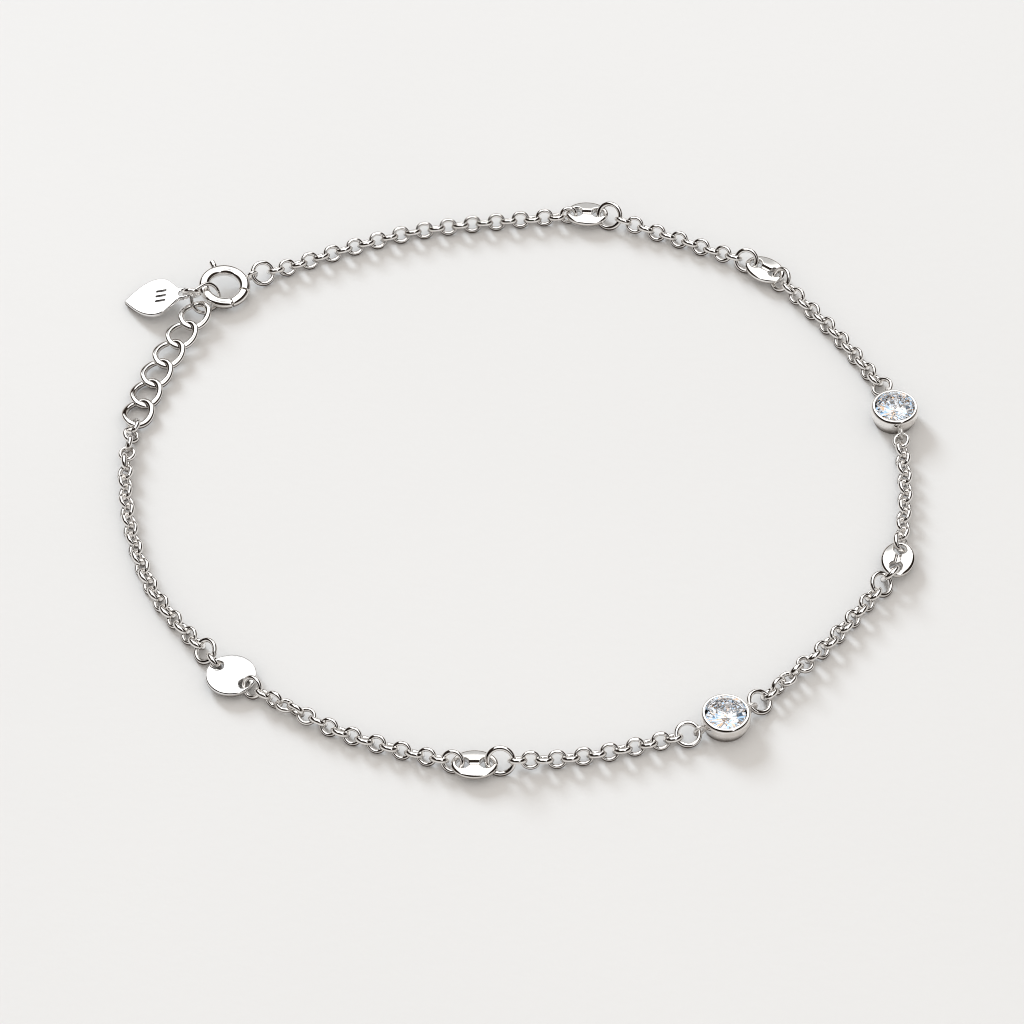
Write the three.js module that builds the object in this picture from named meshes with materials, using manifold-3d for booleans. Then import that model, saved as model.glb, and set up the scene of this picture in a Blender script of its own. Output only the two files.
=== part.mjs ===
// A silver anklet lying on a flat surface, closed into a whole loop: fine round-link chain with four
// puffed two-hole connectors, two bezel-set stones, a plain disc, a spring ring clasp, an extender of
// twisted links and a drop-shaped tag. Millimetres, +Z up; the surface it lies on is the plane z = 0.

import * as THREE from 'three';
import * as BufferGeometryUtils from 'three/addons/utils/BufferGeometryUtils.js';
import Module from 'manifold-3d';

const wasm = await Module();
wasm.setup();

const UP = new THREE.Vector3(0, 0, 1);
const RAD = THREE.MathUtils.degToRad;

// Wire and links. A radius is the link's own, to the middle of its wire; straight is the length of the
// straight sides between the two round ends; twist turns each end about the link's length, in degrees.
const GAP = 0.068;
const LINKS = {
  link: { radius: 0.775, wire: 0.16, segments: 10, straight: 0, twist: 0 },
  small_ring: { radius: 0.95, wire: 0.18, segments: 10, straight: 0, twist: 0 },
  jump_ring: { radius: 1.1, wire: 0.2, segments: 10, straight: 0, twist: 0 },
  large_ring: { radius: 1.27, wire: 0.19, segments: 10, straight: 0, twist: 0 },
  end_ring: { radius: 1.32, wire: 0.19, segments: 14, straight: 0.7, twist: 0 },
  extender: { radius: 1.38, wire: 0.25, segments: 14, straight: 0.69, twist: 28 },
};
const WIRE_SIDES = 5;
const EYE_SEGMENTS = 10;
const HOLE_SEGMENTS = 10;

// How the chain lies: the fine links' roll, the links over which a chain twists, how much higher a link can
// lie than the next one, the least height of anything but the bezels, and the plain strand's section
const CHAIN_ROLL = 45;
const TURN_LINKS = 6;
const LIFT_STEP = 0.13;
const FLOOR_GAP = 0.02;
const STRAND_RADIUS = 0.72;
const STRAND_SIDES = 8;
const STRAND_STEP = 2.6;
const STRAND_INSET = 0.7 * LINKS.link.radius;

// Two-hole connector
const ANCHOR_LENGTH = 4.5;
const ANCHOR_WIDTH = 3.3;
const ANCHOR_THICKNESS = 0.78;
const ANCHOR_HOLE_OFFSET = 1.15;
const ANCHOR_HOLE_RADIUS = 0.6;
const ANCHOR_HOLE_FLARE = 0.28;
const ANCHOR_HEIGHT = 0.95;
const ANCHOR_SEGMENTS = 16;
const ANCHOR_SHOULDER = 0.42;
const ANCHOR_SIDE = { inset: 0.13, share: 0.62 };
const ANCHOR_CUT = { past: 0.1, spread: 0.08 };

// Disc
const DISC_RADIUS = 2.48;
const DISC_THICKNESS = 0.46;
const DISC_HOLE_OFFSET = 1.72;
const DISC_HOLE_RADIUS = 0.52;
const DISC_HEIGHT = 0.8;
const DISC_SEGMENTS = 28;

// Bezel setting and its stone
const BEZEL_RADIUS = 2.42;
const BEZEL_FOOT_RADIUS = 2.05;
const BEZEL_HEIGHT = 2.05;
const BEZEL_INNER_RADIUS = 2.0;
const BEZEL_SEAT_HEIGHT = 1.3;
const BEZEL_SEAT_RADIUS = 1.55;
const BEZEL_LOOP = { radius: 0.5, wire: 0.18 };
const BEZEL_LOOP_HEIGHT = 0.95;
const BEZEL_LOOP_SUNK = 0.02;
const BEZEL_SEGMENTS = 16;
const BEZEL_FLARE = [{ inset: 0.06, height: 0.5 }, { inset: 0, height: 1.2 }];
const BEZEL_LIP = { width: 0.12, drop: 0.14, taper: 0.05 };
const BEZEL_SEAT_DEPTH = 0.45;
const STONE_RADIUS = 1.93;
const STONE_TABLE_RADIUS = 1.06;
const STONE_GIRDLE_HEIGHT = 1.66;
const STONE_GIRDLE_THICKNESS = 0.08;
const STONE_CROWN = 0.36;
const STONE_PAVILION = 1.42;
const STONE_FACETS = 16;

// Spring ring clasp, in its own frame with +X towards its tail eye; angles in degrees from there
const CLASP_RADIUS = 2.15;
const CLASP_TUBE = 0.49;
const CLASP_BORE = 0.42;
const CLASP_BOLT = 0.36;
const CLASP_SEGMENTS = 18;
const CLASP_GATE = { from: -98, to: -42 };
const CLASP_SEAM = 0.7;
const CLASP_TRIGGER_ANGLE = 85;
const CLASP_TRIGGER_RADIUS = 0.3;
const CLASP_TRIGGER_REACH = 3.42;
const CLASP_TRAVEL = 53;
const CLASP_LEAN = 9;
const CLASP_HEIGHT = 1.17;
const CLASP_EYE = { radius: 0.5, wire: 0.18 };
const CLASP_NECK = { width: 0.3, height: 0.36, root: 0.04, reach: 0.6 * CLASP_EYE.wire };
const CLASP_TUBE_SIDES = 10;
const CLASP_BORE_SIDES = 8;
const CLASP_SLOT_PLAY = { angle: 9, height: 0.14 };
const CLASP_BOLT_TAIL = 8;
const CLASP_CUTTER = { inner: 0.5, outer: 4.15, height: 2 };
const SECTOR_STEP = 30;
const SECTOR_LEAST_STEPS = 4;
const CLASP_EYE_OFFSET = 3.3;
const CLASP_HOOK_ANGLE = -167;
const CLASP_HOOK_OFFSET = 2.58;
const END_RING_ROLL = 50;

// Tag
const TAG_LENGTH = 6.55;
const TAG_HALF_WIDTH = 2.62;
const TAG_WIDEST = 2.85;
const TAG_THICKNESS = 0.5;
const TAG_EYE_RIM = 0.76;
const TAG_EYE_RADIUS = 0.46;
const TAG_HEADING = 178;
const TAG_DIP = 14;
const TAG_EYE_DROP = 0.12;
const TAG_EYE_PLAY = 0.05;
const TAG_LINK_ANGLE = 128;
const TAG_LINK_ROLL = 70;
const TAG_LINK_HEADING = 178;

// The handles of the tag's outline, from its tip over the widest place to the shoulder, and the angle at
// which the shoulder meets the eye's round rim
const TAG_TIP_HANDLE = { back: 1.1, out: 1.15 };
const TAG_SIDE_HANDLE = 4.5;
const TAG_SHOULDER_HANDLE = 1.7;
const TAG_NECK_HANDLE = { x: 1.15, y: 1.35 };
const TAG_NECK_ANGLE = 60;
const TAG_CURVE_SEGMENTS = 6;

const SILVER = new THREE.MeshStandardMaterial({ color: '#dcdcde', roughness: 0.12, metalness: 1 });
const SATIN_SILVER = new THREE.MeshStandardMaterial({ color: '#d6d4d1', roughness: 0.3, metalness: 1 });
const CLEAR_STONE = new THREE.MeshStandardMaterial({ color: '#eef4fa', roughness: 0.02, metalness: 0 });

// The stations that the chain runs join, with each one's place, the direction of travel through it in
// degrees from +X, and its height. Travel is clockwise round the loop, seen from above.
const STATIONS = {
  clasp: { x: -30.05, y: 30.4, heading: 30, height: CLASP_HEIGHT },
  anchor_1: { x: 7.97, y: 41.4, heading: -3, height: ANCHOR_HEIGHT },
  anchor_2: { x: 26.55, y: 33.1, heading: -37, height: ANCHOR_HEIGHT },
  bezel_1: { x: 38.9, y: 12.6, heading: -80, height: BEZEL_LOOP_HEIGHT },
  anchor_3: { x: 38.1, y: -7.1, heading: -104, height: ANCHOR_HEIGHT },
  bezel_2: { x: 20.42, y: -27.3, heading: -151, height: BEZEL_LOOP_HEIGHT },
  anchor_4: { x: -3.55, y: -32.8, heading: 180, height: ANCHOR_HEIGHT },
  disc: { x: -27.1, y: -21.8, heading: 138, height: DISC_HEIGHT },
};

// The end ring hooks round the clasp's tube, lying along the line from the clasp's centre
const endRingWay = headingVector(STATIONS.clasp.heading + CLASP_HOOK_ANGLE + 180);
STATIONS.end_ring = {
  x: STATIONS.clasp.x - CLASP_HOOK_OFFSET * endRingWay.x,
  y: STATIONS.clasp.y - CLASP_HOOK_OFFSET * endRingWay.y,
  heading: STATIONS.clasp.heading + CLASP_HOOK_ANGLE + 180,
  height: restHeight('end_ring', endRingWay, END_RING_ROLL, FLOOR_GAP),
};

// How a chain run takes hold of each kind of station: the distance from its centre to its eye, how much
// farther off than its own inner radius the first link's centre lies, and whether its wire goes through
// the eye's middle.
const EYES = {
  anchor: { offset: ANCHOR_HOLE_OFFSET, play: 0.22, centred: true },
  disc: { offset: DISC_HOLE_OFFSET, play: 0.18, centred: true },
  bezel: {
    offset: BEZEL_RADIUS + BEZEL_LOOP.radius - BEZEL_LOOP_SUNK,
    play: BEZEL_LOOP.radius - BEZEL_LOOP.wire - GAP,
    centred: false,
  },
  clasp: { offset: CLASP_EYE_OFFSET, play: CLASP_EYE.radius - CLASP_EYE.wire - GAP, centred: false },
  end: { offset: 0, play: LINKS.end_ring.radius - LINKS.end_ring.wire - GAP, centred: false },
};

// The chain runs in order of travel. lead and tail are the single links before and after the fine chain,
// each with its kind and its roll: how far its plane leans from flat, in degrees, towards the inside of
// the loop where positive. The fine links roll by CHAIN_ROLL to either side in turn, the first one to
// first_side, and turn is what the roll gains over the last links, where a chain lies twisted. bow is how
// far the run's middle lies outside the straight line between its stations, unless via names the points
// that it passes. A strand is a run whose middle links are one plain strand.
const RUNS = [
  {
    node: 'chain_1', from: 'clasp', to: 'anchor_1', links: 26, first_side: -1, strand: true,
    lead: [['jump_ring', 40]], tail: [], turn: 15, bow: 2.1, via: [],
  },
  {
    node: 'chain_2', from: 'anchor_1', to: 'anchor_2', links: 11, first_side: -1, strand: false,
    lead: [['large_ring', 50]], tail: [['jump_ring', 52]], turn: 0, bow: 0.3, via: [],
  },
  {
    node: 'chain_3', from: 'anchor_2', to: 'bezel_1', links: 13, first_side: -1, strand: false,
    lead: [['jump_ring', 52]], tail: [['small_ring', 25]], turn: 0, bow: 0.5, via: [],
  },
  {
    node: 'chain_4', from: 'bezel_1', to: 'anchor_3', links: 10, first_side: -1, strand: false,
    lead: [['link', 20]], tail: [['small_ring', -55]], turn: 0, bow: 0.5, via: [],
  },
  {
    node: 'chain_5', from: 'anchor_3', to: 'bezel_2', links: 14, first_side: 1, strand: false,
    lead: [['small_ring', 58], ['jump_ring', -40]], tail: [['jump_ring', -25]], turn: 90, bow: 0.7, via: [],
  },
  {
    node: 'chain_6', from: 'bezel_2', to: 'anchor_4', links: 13, first_side: 1, strand: false,
    lead: [['jump_ring', -25]], tail: [['large_ring', -55]], turn: 0, bow: 0.7, via: [],
  },
  {
    node: 'chain_7', from: 'anchor_4', to: 'disc', links: 16, first_side: 1, strand: true,
    lead: [['small_ring', -55]], tail: [['small_ring', -58]], turn: 90, bow: 1.2, via: [],
  },
  {
    node: 'chain_8', from: 'disc', to: 'end_ring', links: 25, first_side: 1, strand: true,
    lead: [['link', 62], ['jump_ring', -40]],
    tail: [
      ['extender', 0], ['extender', 0], ['extender', 0], ['extender', 0], ['extender', 0],
      ['extender', 0],
    ],
    turn: 90, bow: 0, via: [[-35.4, -10.6], [-38.8, 3.1], [-37.6, 15.0]],
  },
];

function headingVector(degrees) {
  return new THREE.Vector3(Math.cos(RAD(degrees)), Math.sin(RAD(degrees)), 0);
}

function toSolid(geometry) {
  const bare = geometry.index ? geometry.clone() : BufferGeometryUtils.mergeVertices(geometry);
  bare.deleteAttribute('normal');
  bare.deleteAttribute('uv');
  const closed = BufferGeometryUtils.mergeVertices(bare, 1e-4);
  return new wasm.Manifold(new wasm.Mesh({
    numProp: 3,
    vertProperties: closed.attributes.position.array,
    triVerts: closed.index.array,
  }));
}

function toGeometry(solid) {
  const mesh = solid.getMesh();
  const geometry = new THREE.BufferGeometry();
  geometry.setAttribute('position', new THREE.BufferAttribute(mesh.vertProperties, 3));
  geometry.setIndex(new THREE.BufferAttribute(mesh.triVerts, 1));
  geometry.computeVertexNormals();
  return geometry;
}

function joined(geometries) {
  return geometries.map(toSolid).reduce((whole, piece) => whole.add(piece));
}

function drilled(geometry, holes) {
  return holes.map(toSolid).reduce((whole, hole) => whole.subtract(hole), toSolid(geometry));
}

function addMesh(parent, name, geometry, material) {
  const mesh = new THREE.Mesh(geometry, material);
  mesh.name = name;
  parent.add(mesh);
  return mesh;
}

// A ring of round wire in the XY plane, with a corner of the wire's section on the inside and the middle
// of a straight stretch at either end of X
function ringGeometry(radius, wire, segments, sides) {
  const section = [];
  const corner = radius / Math.cos(Math.PI / segments);
  for (let side = 0; side <= sides; side++) {
    const angle = Math.PI + (side / sides) * 2 * Math.PI;
    section.push(new THREE.Vector2(corner + wire * Math.cos(angle), wire * Math.sin(angle)));
  }
  const geometry = new THREE.LatheGeometry(section, segments, Math.PI / 2 + Math.PI / segments);
  geometry.rotateX(Math.PI / 2);
  return geometry;
}

function halfLength(kind) {
  return LINKS[kind].radius + LINKS[kind].straight / 2;
}

// A link lying flat with its length along X: a ring drawn out by its straight sides, then twisted
function linkGeometry(kind) {
  const { radius, wire, segments, straight, twist } = LINKS[kind];
  const geometry = ringGeometry(radius, wire, segments, WIRE_SIDES);
  const points = geometry.attributes.position;
  const point = new THREE.Vector3();
  const lengthwise = new THREE.Vector3(1, 0, 0);
  for (let i = 0; i < points.count; i++) {
    point.fromBufferAttribute(points, i);
    point.x += Math.sign(point.x) * straight / 2;
    point.applyAxisAngle(lengthwise, -RAD(twist) * point.x / halfLength(kind));
    points.setXYZ(i, point.x, point.y, point.z);
  }
  return geometry;
}

// Where a link at a place lies: its length along the tangent, and its plane rolled about it
function linkMatrix(place, tangent, roll) {
  const inward = new THREE.Vector3().crossVectors(tangent, UP).normalize();
  const above = new THREE.Vector3().crossVectors(inward, tangent);
  const normal = above.multiplyScalar(Math.cos(RAD(roll)));
  normal.addScaledVector(inward, Math.sin(RAD(roll)));
  const across = new THREE.Vector3().crossVectors(normal, tangent);
  return new THREE.Matrix4().makeBasis(tangent, across, normal).setPosition(place);
}

// How high a link's centre must lie for its lowest corner to be at a given height
function restHeight(kind, tangent, roll, height) {
  const rolled = linkGeometry(kind).applyMatrix4(linkMatrix(new THREE.Vector3(), tangent, roll));
  rolled.computeBoundingBox();
  return height - rolled.boundingBox.min.z;
}

function stationMatrix(name) {
  const { x, y, heading, height } = STATIONS[name];
  const matrix = new THREE.Matrix4().makeRotationZ(RAD(heading));
  matrix.multiply(new THREE.Matrix4().makeRotationX(RAD(name === 'clasp' ? CLASP_LEAN : 0)));
  return matrix.setPosition(x, y, height);
}

// The point where a run leaves or reaches a station, and how its first or last link takes hold there
function eyeOf(name, leaving) {
  const { offset, play, centred } = EYES[name.split('_')[0]];
  const point = new THREE.Vector3(leaving ? offset : -offset, 0, 0);
  return { point: point.applyMatrix4(stationMatrix(name)), play, centred };
}

// The distance between the centres of two links that hook into each other with a small gap
function hookDistance(kind, next) {
  return halfLength(kind) + halfLength(next) - LINKS[kind].wire - LINKS[next].wire - GAP;
}

// A run's level course from one eye to the next
function courseOf(run, start, end) {
  const middle = new THREE.Vector3().addVectors(start, end).multiplyScalar(0.5);
  const across = new THREE.Vector3().subVectors(end, start).cross(UP).normalize();
  const inner = run.via.map(([x, y]) => new THREE.Vector3(x, y, 0));
  if (inner.length === 0) {
    inner.push(middle.addScaledVector(across, -run.bow));
  }
  const points = [start, ...inner, end].map((point) => point.clone().setZ(0));
  const course = new THREE.CatmullRomCurve3(points, false, 'centripetal');
  course.arcLengthDivisions = 400;
  return course;
}

// Every link of a run with its kind, node, place, tangent and roll
function layRun(run) {
  const fine = [];
  for (let i = 0; i < run.links; i++) {
    const gained = (run.turn * Math.max(0, i + 1 + TURN_LINKS - run.links)) / TURN_LINKS;
    fine.push(['link', CHAIN_ROLL * run.first_side * (i % 2 ? -1 : 1) + gained, run.node]);
  }
  const links = [...run.lead, ...fine, ...run.tail].map(([kind, roll, node]) => ({ kind, roll, node }));
  const last = links[links.length - 1];
  const start = eyeOf(run.from, true);
  const end = eyeOf(run.to, false);
  const course = courseOf(run, start.point, end.point);
  const length = course.getLength();

  const first = halfLength(links[0].kind) - LINKS[links[0].kind].wire + start.play;
  const final = halfLength(last.kind) - LINKS[last.kind].wire + end.play;
  const hooks = links.slice(1).map((link, i) => (
    link.node && links[i].node ? 0 : hookDistance(links[i].kind, link.kind)));
  const hooked = hooks.reduce((sum, distance) => sum + distance, 0);
  const pitch = (length - first - final - hooked) / (run.links - 1);
  links.forEach((link, i) => {
    link.along = i === 0 ? first : links[i - 1].along + (hooks[i - 1] || pitch);
    link.place = course.getPointAt(link.along / length);
    link.place.z = restHeight(link.kind, course.getTangentAt(link.along / length), link.roll, FLOOR_GAP);
  });
  links[0].place.z = Math.max(links[0].place.z, start.point.z - LIFT_STEP);
  last.place.z = Math.max(last.place.z, end.point.z - LIFT_STEP);
  for (let i = 1; i < links.length; i++) {
    links[i].place.z = Math.max(links[i].place.z, links[i - 1].place.z - LIFT_STEP);
  }
  for (let i = links.length - 2; i >= 0; i--) {
    links[i].place.z = Math.max(links[i].place.z, links[i + 1].place.z - LIFT_STEP);
  }
  links.forEach((link, i) => {
    const before = i === 0 ? start.point : links[i - 1].place;
    const after = i === links.length - 1 ? end.point : links[i + 1].place;
    const from = i === links.length - 1 && end.centred ? link.place : before;
    const to = i === 0 && start.centred ? link.place : after;
    link.tangent = new THREE.Vector3().subVectors(to, from).normalize();
    link.place.z = Math.max(link.place.z, restHeight(link.kind, link.tangent, link.roll, FLOOR_GAP));
    link.matrix = linkMatrix(link.place, link.tangent, link.roll);
  });
  return links;
}

// The middle of a run drawn as a plain strand: a tube from inside its first link to inside its last
function strandGeometry(links) {
  const first = links[0].place.clone().addScaledVector(links[0].tangent, STRAND_INSET);
  const final = links[links.length - 1];
  const last = final.place.clone().addScaledVector(final.tangent, -STRAND_INSET);
  const middle = links.slice(1, -1).map((link) => link.place);
  const route = new THREE.CatmullRomCurve3([first, ...middle, last], false, 'centripetal');
  const section = new THREE.Shape();
  for (let side = 0; side < STRAND_SIDES; side++) {
    const angle = ((side + 0.5) / STRAND_SIDES) * 2 * Math.PI;
    const corner = [STRAND_RADIUS * Math.cos(angle), STRAND_RADIUS * Math.sin(angle)];
    if (side === 0) {
      section.moveTo(...corner);
    } else {
      section.lineTo(...corner);
    }
  }
  const steps = Math.round(route.getLength() / STRAND_STEP);
  return new THREE.ExtrudeGeometry(section, { steps, extrudePath: route, bevelEnabled: false });
}

// A run's fine chain as one solid, in the frame of its first link's place
function chainSolid(run, links) {
  const pieces = links.map((link) => linkGeometry('link').applyMatrix4(link.matrix));
  const kept = run.strand ? [pieces[0], strandGeometry(links), pieces[pieces.length - 1]] : pieces;
  const { x, y, z } = links[0].place;
  return joined(kept.map((geometry) => geometry.translate(-x, -y, -z)));
}

// A flat sector round the Z axis, between two radii and two angles in degrees
function sectorGeometry(inner, outer, from, to, height) {
  const shape = new THREE.Shape();
  shape.absarc(0, 0, outer, RAD(from), RAD(to), false);
  shape.absarc(0, 0, inner, RAD(to), RAD(from), true);
  const curveSegments = Math.max(SECTOR_LEAST_STEPS, Math.ceil((to - from) / SECTOR_STEP));
  const geometry = new THREE.ExtrudeGeometry(shape, { depth: height, bevelEnabled: false, curveSegments });
  return geometry.translate(0, 0, -height / 2);
}

// A profile of [radius, height] turned about the Z axis
function turned(profile, segments) {
  const points = profile.map(([radius, height]) => new THREE.Vector2(radius, height));
  return new THREE.LatheGeometry(points, segments).rotateX(Math.PI / 2);
}

// An oval plate with rounded edges and two flared holes
function anchorGeometry() {
  const half = ANCHOR_THICKNESS / 2;
  const rim = ANCHOR_WIDTH / 2;
  const shoulder = rim - ANCHOR_SHOULDER;
  const side = { radius: rim - ANCHOR_SIDE.inset, height: half * ANCHOR_SIDE.share };
  const body = turned([
    [0, -half], [shoulder, -half], [side.radius, -side.height], [rim, 0],
    [side.radius, side.height], [shoulder, half], [0, half],
  ], ANCHOR_SEGMENTS);
  body.scale(ANCHOR_LENGTH / ANCHOR_WIDTH, 1, 1);
  const wide = ANCHOR_HOLE_RADIUS + ANCHOR_HOLE_FLARE;
  const waist = half - ANCHOR_HOLE_FLARE;
  const past = half + ANCHOR_CUT.past;
  const open = wide + ANCHOR_CUT.spread;
  const holes = [-1, 1].map((end) => turned([
    [0, -past], [open, -past], [wide, -half], [ANCHOR_HOLE_RADIUS, -waist],
    [ANCHOR_HOLE_RADIUS, waist], [wide, half], [open, past], [0, past],
  ], HOLE_SEGMENTS).translate(end * ANCHOR_HOLE_OFFSET, 0, 0));
  return toGeometry(drilled(body, holes));
}

function discGeometry() {
  const plate = new THREE.CylinderGeometry(DISC_RADIUS, DISC_RADIUS, DISC_THICKNESS, DISC_SEGMENTS);
  const holes = [-1, 1].map((end) => (
    new THREE.CylinderGeometry(DISC_HOLE_RADIUS, DISC_HOLE_RADIUS, 2 * DISC_THICKNESS, HOLE_SEGMENTS)
      .rotateX(Math.PI / 2)
      .translate(end * DISC_HOLE_OFFSET, 0, 0)));
  return toGeometry(drilled(plate.rotateX(Math.PI / 2), holes));
}

// An open cup with a rolled lip and a foot drawn in, and a loop at each end of its travel direction
function bezelGeometry() {
  const seat = BEZEL_SEAT_HEIGHT;
  const cup = turned([
    [BEZEL_FOOT_RADIUS, 0],
    ...BEZEL_FLARE.map(({ inset, height }) => [BEZEL_RADIUS - inset, height]),
    [BEZEL_RADIUS, BEZEL_HEIGHT - BEZEL_LIP.drop],
    [BEZEL_RADIUS - BEZEL_LIP.width, BEZEL_HEIGHT],
    [BEZEL_INNER_RADIUS + BEZEL_LIP.taper, BEZEL_HEIGHT],
    [BEZEL_INNER_RADIUS, seat],
    [BEZEL_SEAT_RADIUS, seat - BEZEL_SEAT_DEPTH],
    [BEZEL_SEAT_RADIUS, 0],
    [BEZEL_FOOT_RADIUS, 0],
  ], BEZEL_SEGMENTS);
  const loops = [-1, 1].map((side) => {
    const loop = ringGeometry(BEZEL_LOOP.radius, BEZEL_LOOP.wire, EYE_SEGMENTS, WIRE_SIDES);
    loop.rotateX(Math.PI / 2);
    return loop.translate(side * EYES.bezel.offset, 0, BEZEL_LOOP_HEIGHT);
  });
  return toGeometry(joined([cup, ...loops]));
}

// A brilliant's plain form: a table, a faceted crown, a girdle and a pavilion to a point
function stoneGeometry() {
  const girdle = STONE_GIRDLE_THICKNESS;
  return turned([
    [0, -STONE_PAVILION], [STONE_RADIUS, 0], [STONE_RADIUS, girdle],
    [STONE_TABLE_RADIUS, girdle + STONE_CROWN], [0, girdle + STONE_CROWN],
  ], STONE_FACETS);
}

// The hollow case: a tube ring, bored through, open at the gate and slotted outside for the trigger, with
// its tail eye on a short neck
function claspCaseGeometry() {
  const slotFrom = CLASP_TRIGGER_ANGLE - CLASP_TRAVEL - CLASP_SLOT_PLAY.angle;
  const slotTo = CLASP_TRIGGER_ANGLE + CLASP_SLOT_PLAY.angle;
  const slotHeight = 2 * CLASP_TRIGGER_RADIUS + CLASP_SLOT_PLAY.height;
  const { inner, outer, height } = CLASP_CUTTER;
  const eye = ringGeometry(CLASP_EYE.radius, CLASP_EYE.wire, EYE_SEGMENTS, WIRE_SIDES);
  eye.rotateX(Math.PI / 2);
  eye.translate(CLASP_EYE_OFFSET, 0, 0);
  const neckStart = CLASP_RADIUS + CLASP_TUBE - CLASP_NECK.root;
  const neckEnd = CLASP_EYE_OFFSET - CLASP_EYE.radius + CLASP_NECK.reach;
  const neck = new THREE.BoxGeometry(neckEnd - neckStart, CLASP_NECK.width, CLASP_NECK.height);
  neck.translate((neckStart + neckEnd) / 2, 0, 0);
  const tube = ringGeometry(CLASP_RADIUS, CLASP_TUBE, CLASP_SEGMENTS, CLASP_TUBE_SIDES);
  const shell = drilled(tube, [
    ringGeometry(CLASP_RADIUS, CLASP_BORE, CLASP_SEGMENTS, CLASP_BORE_SIDES),
    sectorGeometry(inner, outer, CLASP_GATE.from, CLASP_GATE.to, height),
    sectorGeometry(CLASP_RADIUS, outer, slotFrom, slotTo, slotHeight),
  ]);
  return toGeometry(shell.add(joined([neck, eye])));
}

// The bolt: the arc that closes the gate and runs on inside the case to the trigger
function claspBoltGeometry() {
  const { inner, outer, height } = CLASP_CUTTER;
  const ring = toSolid(ringGeometry(CLASP_RADIUS, CLASP_BOLT, CLASP_SEGMENTS, CLASP_BORE_SIDES));
  const tail = CLASP_TRIGGER_ANGLE - 360 - CLASP_BOLT_TAIL;
  const sector = sectorGeometry(inner, outer, tail, CLASP_GATE.to - CLASP_SEAM, height);
  const arc = ring.intersect(toSolid(sector));
  const length = CLASP_TRIGGER_REACH - CLASP_RADIUS;
  const trigger = new THREE.CylinderGeometry(
    CLASP_TRIGGER_RADIUS, CLASP_TRIGGER_RADIUS, length, CLASP_TUBE_SIDES);
  trigger.rotateZ(-Math.PI / 2);
  trigger.translate(CLASP_RADIUS + length / 2, 0, 0);
  trigger.rotateZ(RAD(CLASP_TRIGGER_ANGLE));
  return toGeometry(arc.add(toSolid(trigger)));
}

// A drop-shaped plate with its eye at the origin and its point along +X
function tagGeometry() {
  const shape = new THREE.Shape();
  const tip = TAG_TIP_HANDLE;
  const neck = TAG_NECK_HANDLE;
  const side = TAG_HALF_WIDTH;
  const meeting = headingVector(TAG_NECK_ANGLE).multiplyScalar(TAG_EYE_RIM);
  shape.moveTo(TAG_LENGTH, 0);
  shape.bezierCurveTo(TAG_LENGTH - tip.back, tip.out, TAG_SIDE_HANDLE, side, TAG_WIDEST, side);
  shape.bezierCurveTo(TAG_SHOULDER_HANDLE, side, neck.x, neck.y, meeting.x, meeting.y);
  shape.absarc(0, 0, TAG_EYE_RIM, RAD(TAG_NECK_ANGLE), RAD(360 - TAG_NECK_ANGLE), false);
  shape.bezierCurveTo(neck.x, -neck.y, TAG_SHOULDER_HANDLE, -side, TAG_WIDEST, -side);
  shape.bezierCurveTo(TAG_SIDE_HANDLE, -side, TAG_LENGTH - tip.back, -tip.out, TAG_LENGTH, 0);
  const eye = new THREE.Path();
  eye.absarc(0, 0, TAG_EYE_RADIUS, 0, 2 * Math.PI, true);
  shape.holes.push(eye);
  const geometry = new THREE.ExtrudeGeometry(shape, {
    depth: TAG_THICKNESS, bevelEnabled: false, curveSegments: TAG_CURVE_SEGMENTS,
  });
  return geometry.translate(0, 0, -TAG_THICKNESS / 2);
}

const anklet = new THREE.Group();

function addStation(name) {
  const group = new THREE.Group();
  group.applyMatrix4(stationMatrix(name));
  anklet.add(group);
  return group;
}

const claspGroup = addStation('clasp');
addMesh(claspGroup, 'clasp_case', claspCaseGeometry(), SILVER);
addMesh(claspGroup, 'clasp_bolt', claspBoltGeometry(), SILVER);

for (const number of [1, 2, 3, 4]) {
  const name = `anchor_${number}`;
  addMesh(addStation(name), name, anchorGeometry(), SILVER);
}

for (const number of [1, 2]) {
  const name = `bezel_${number}`;
  const group = addStation(name);
  group.position.z = 0;
  addMesh(group, name, bezelGeometry(), SATIN_SILVER);
  addMesh(group, `stone_${number}`, stoneGeometry(), CLEAR_STONE).position.z = STONE_GIRDLE_HEIGHT;
}

addMesh(addStation('disc'), 'disc', discGeometry(), SILVER);

let rings = 0;
let extenders = 0;
for (const run of RUNS) {
  const links = layRun(run);
  const fine = links.filter((link) => link.node === run.node);
  const chain = addMesh(anklet, run.node, toGeometry(chainSolid(run, fine)), SILVER);
  chain.position.copy(fine[0].place);
  for (const link of links.filter((one) => !one.node)) {
    let name = '';
    if (link.kind === 'extender') {
      extenders += 1;
      name = `extender_${extenders}`;
    } else {
      rings += 1;
      name = `ring_${rings}`;
    }
    addMesh(anklet, name, linkGeometry(link.kind), SILVER).applyMatrix4(link.matrix);
  }
}

// The end ring leans on its right side; the tag hangs by its small link from its raised left side
const endRingPlace = new THREE.Vector3().setFromMatrixPosition(stationMatrix('end_ring'));
const endRingMatrix = linkMatrix(endRingPlace, endRingWay, END_RING_ROLL);
addMesh(anklet, 'end_ring', linkGeometry('end_ring'), SILVER).applyMatrix4(endRingMatrix);

const hook = headingVector(TAG_LINK_ANGLE).multiplyScalar(LINKS.end_ring.radius);
hook.applyMatrix4(endRingMatrix);
const tagLinkWay = headingVector(TAG_LINK_HEADING);
const reach = LINKS.link.radius - LINKS.link.wire - LINKS.end_ring.wire - GAP;
const tagLinkPlace = hook.clone().addScaledVector(tagLinkWay, reach);
addMesh(anklet, 'tag_link', linkGeometry('link'), SILVER)
  .applyMatrix4(linkMatrix(tagLinkPlace, tagLinkWay, TAG_LINK_ROLL));

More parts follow.
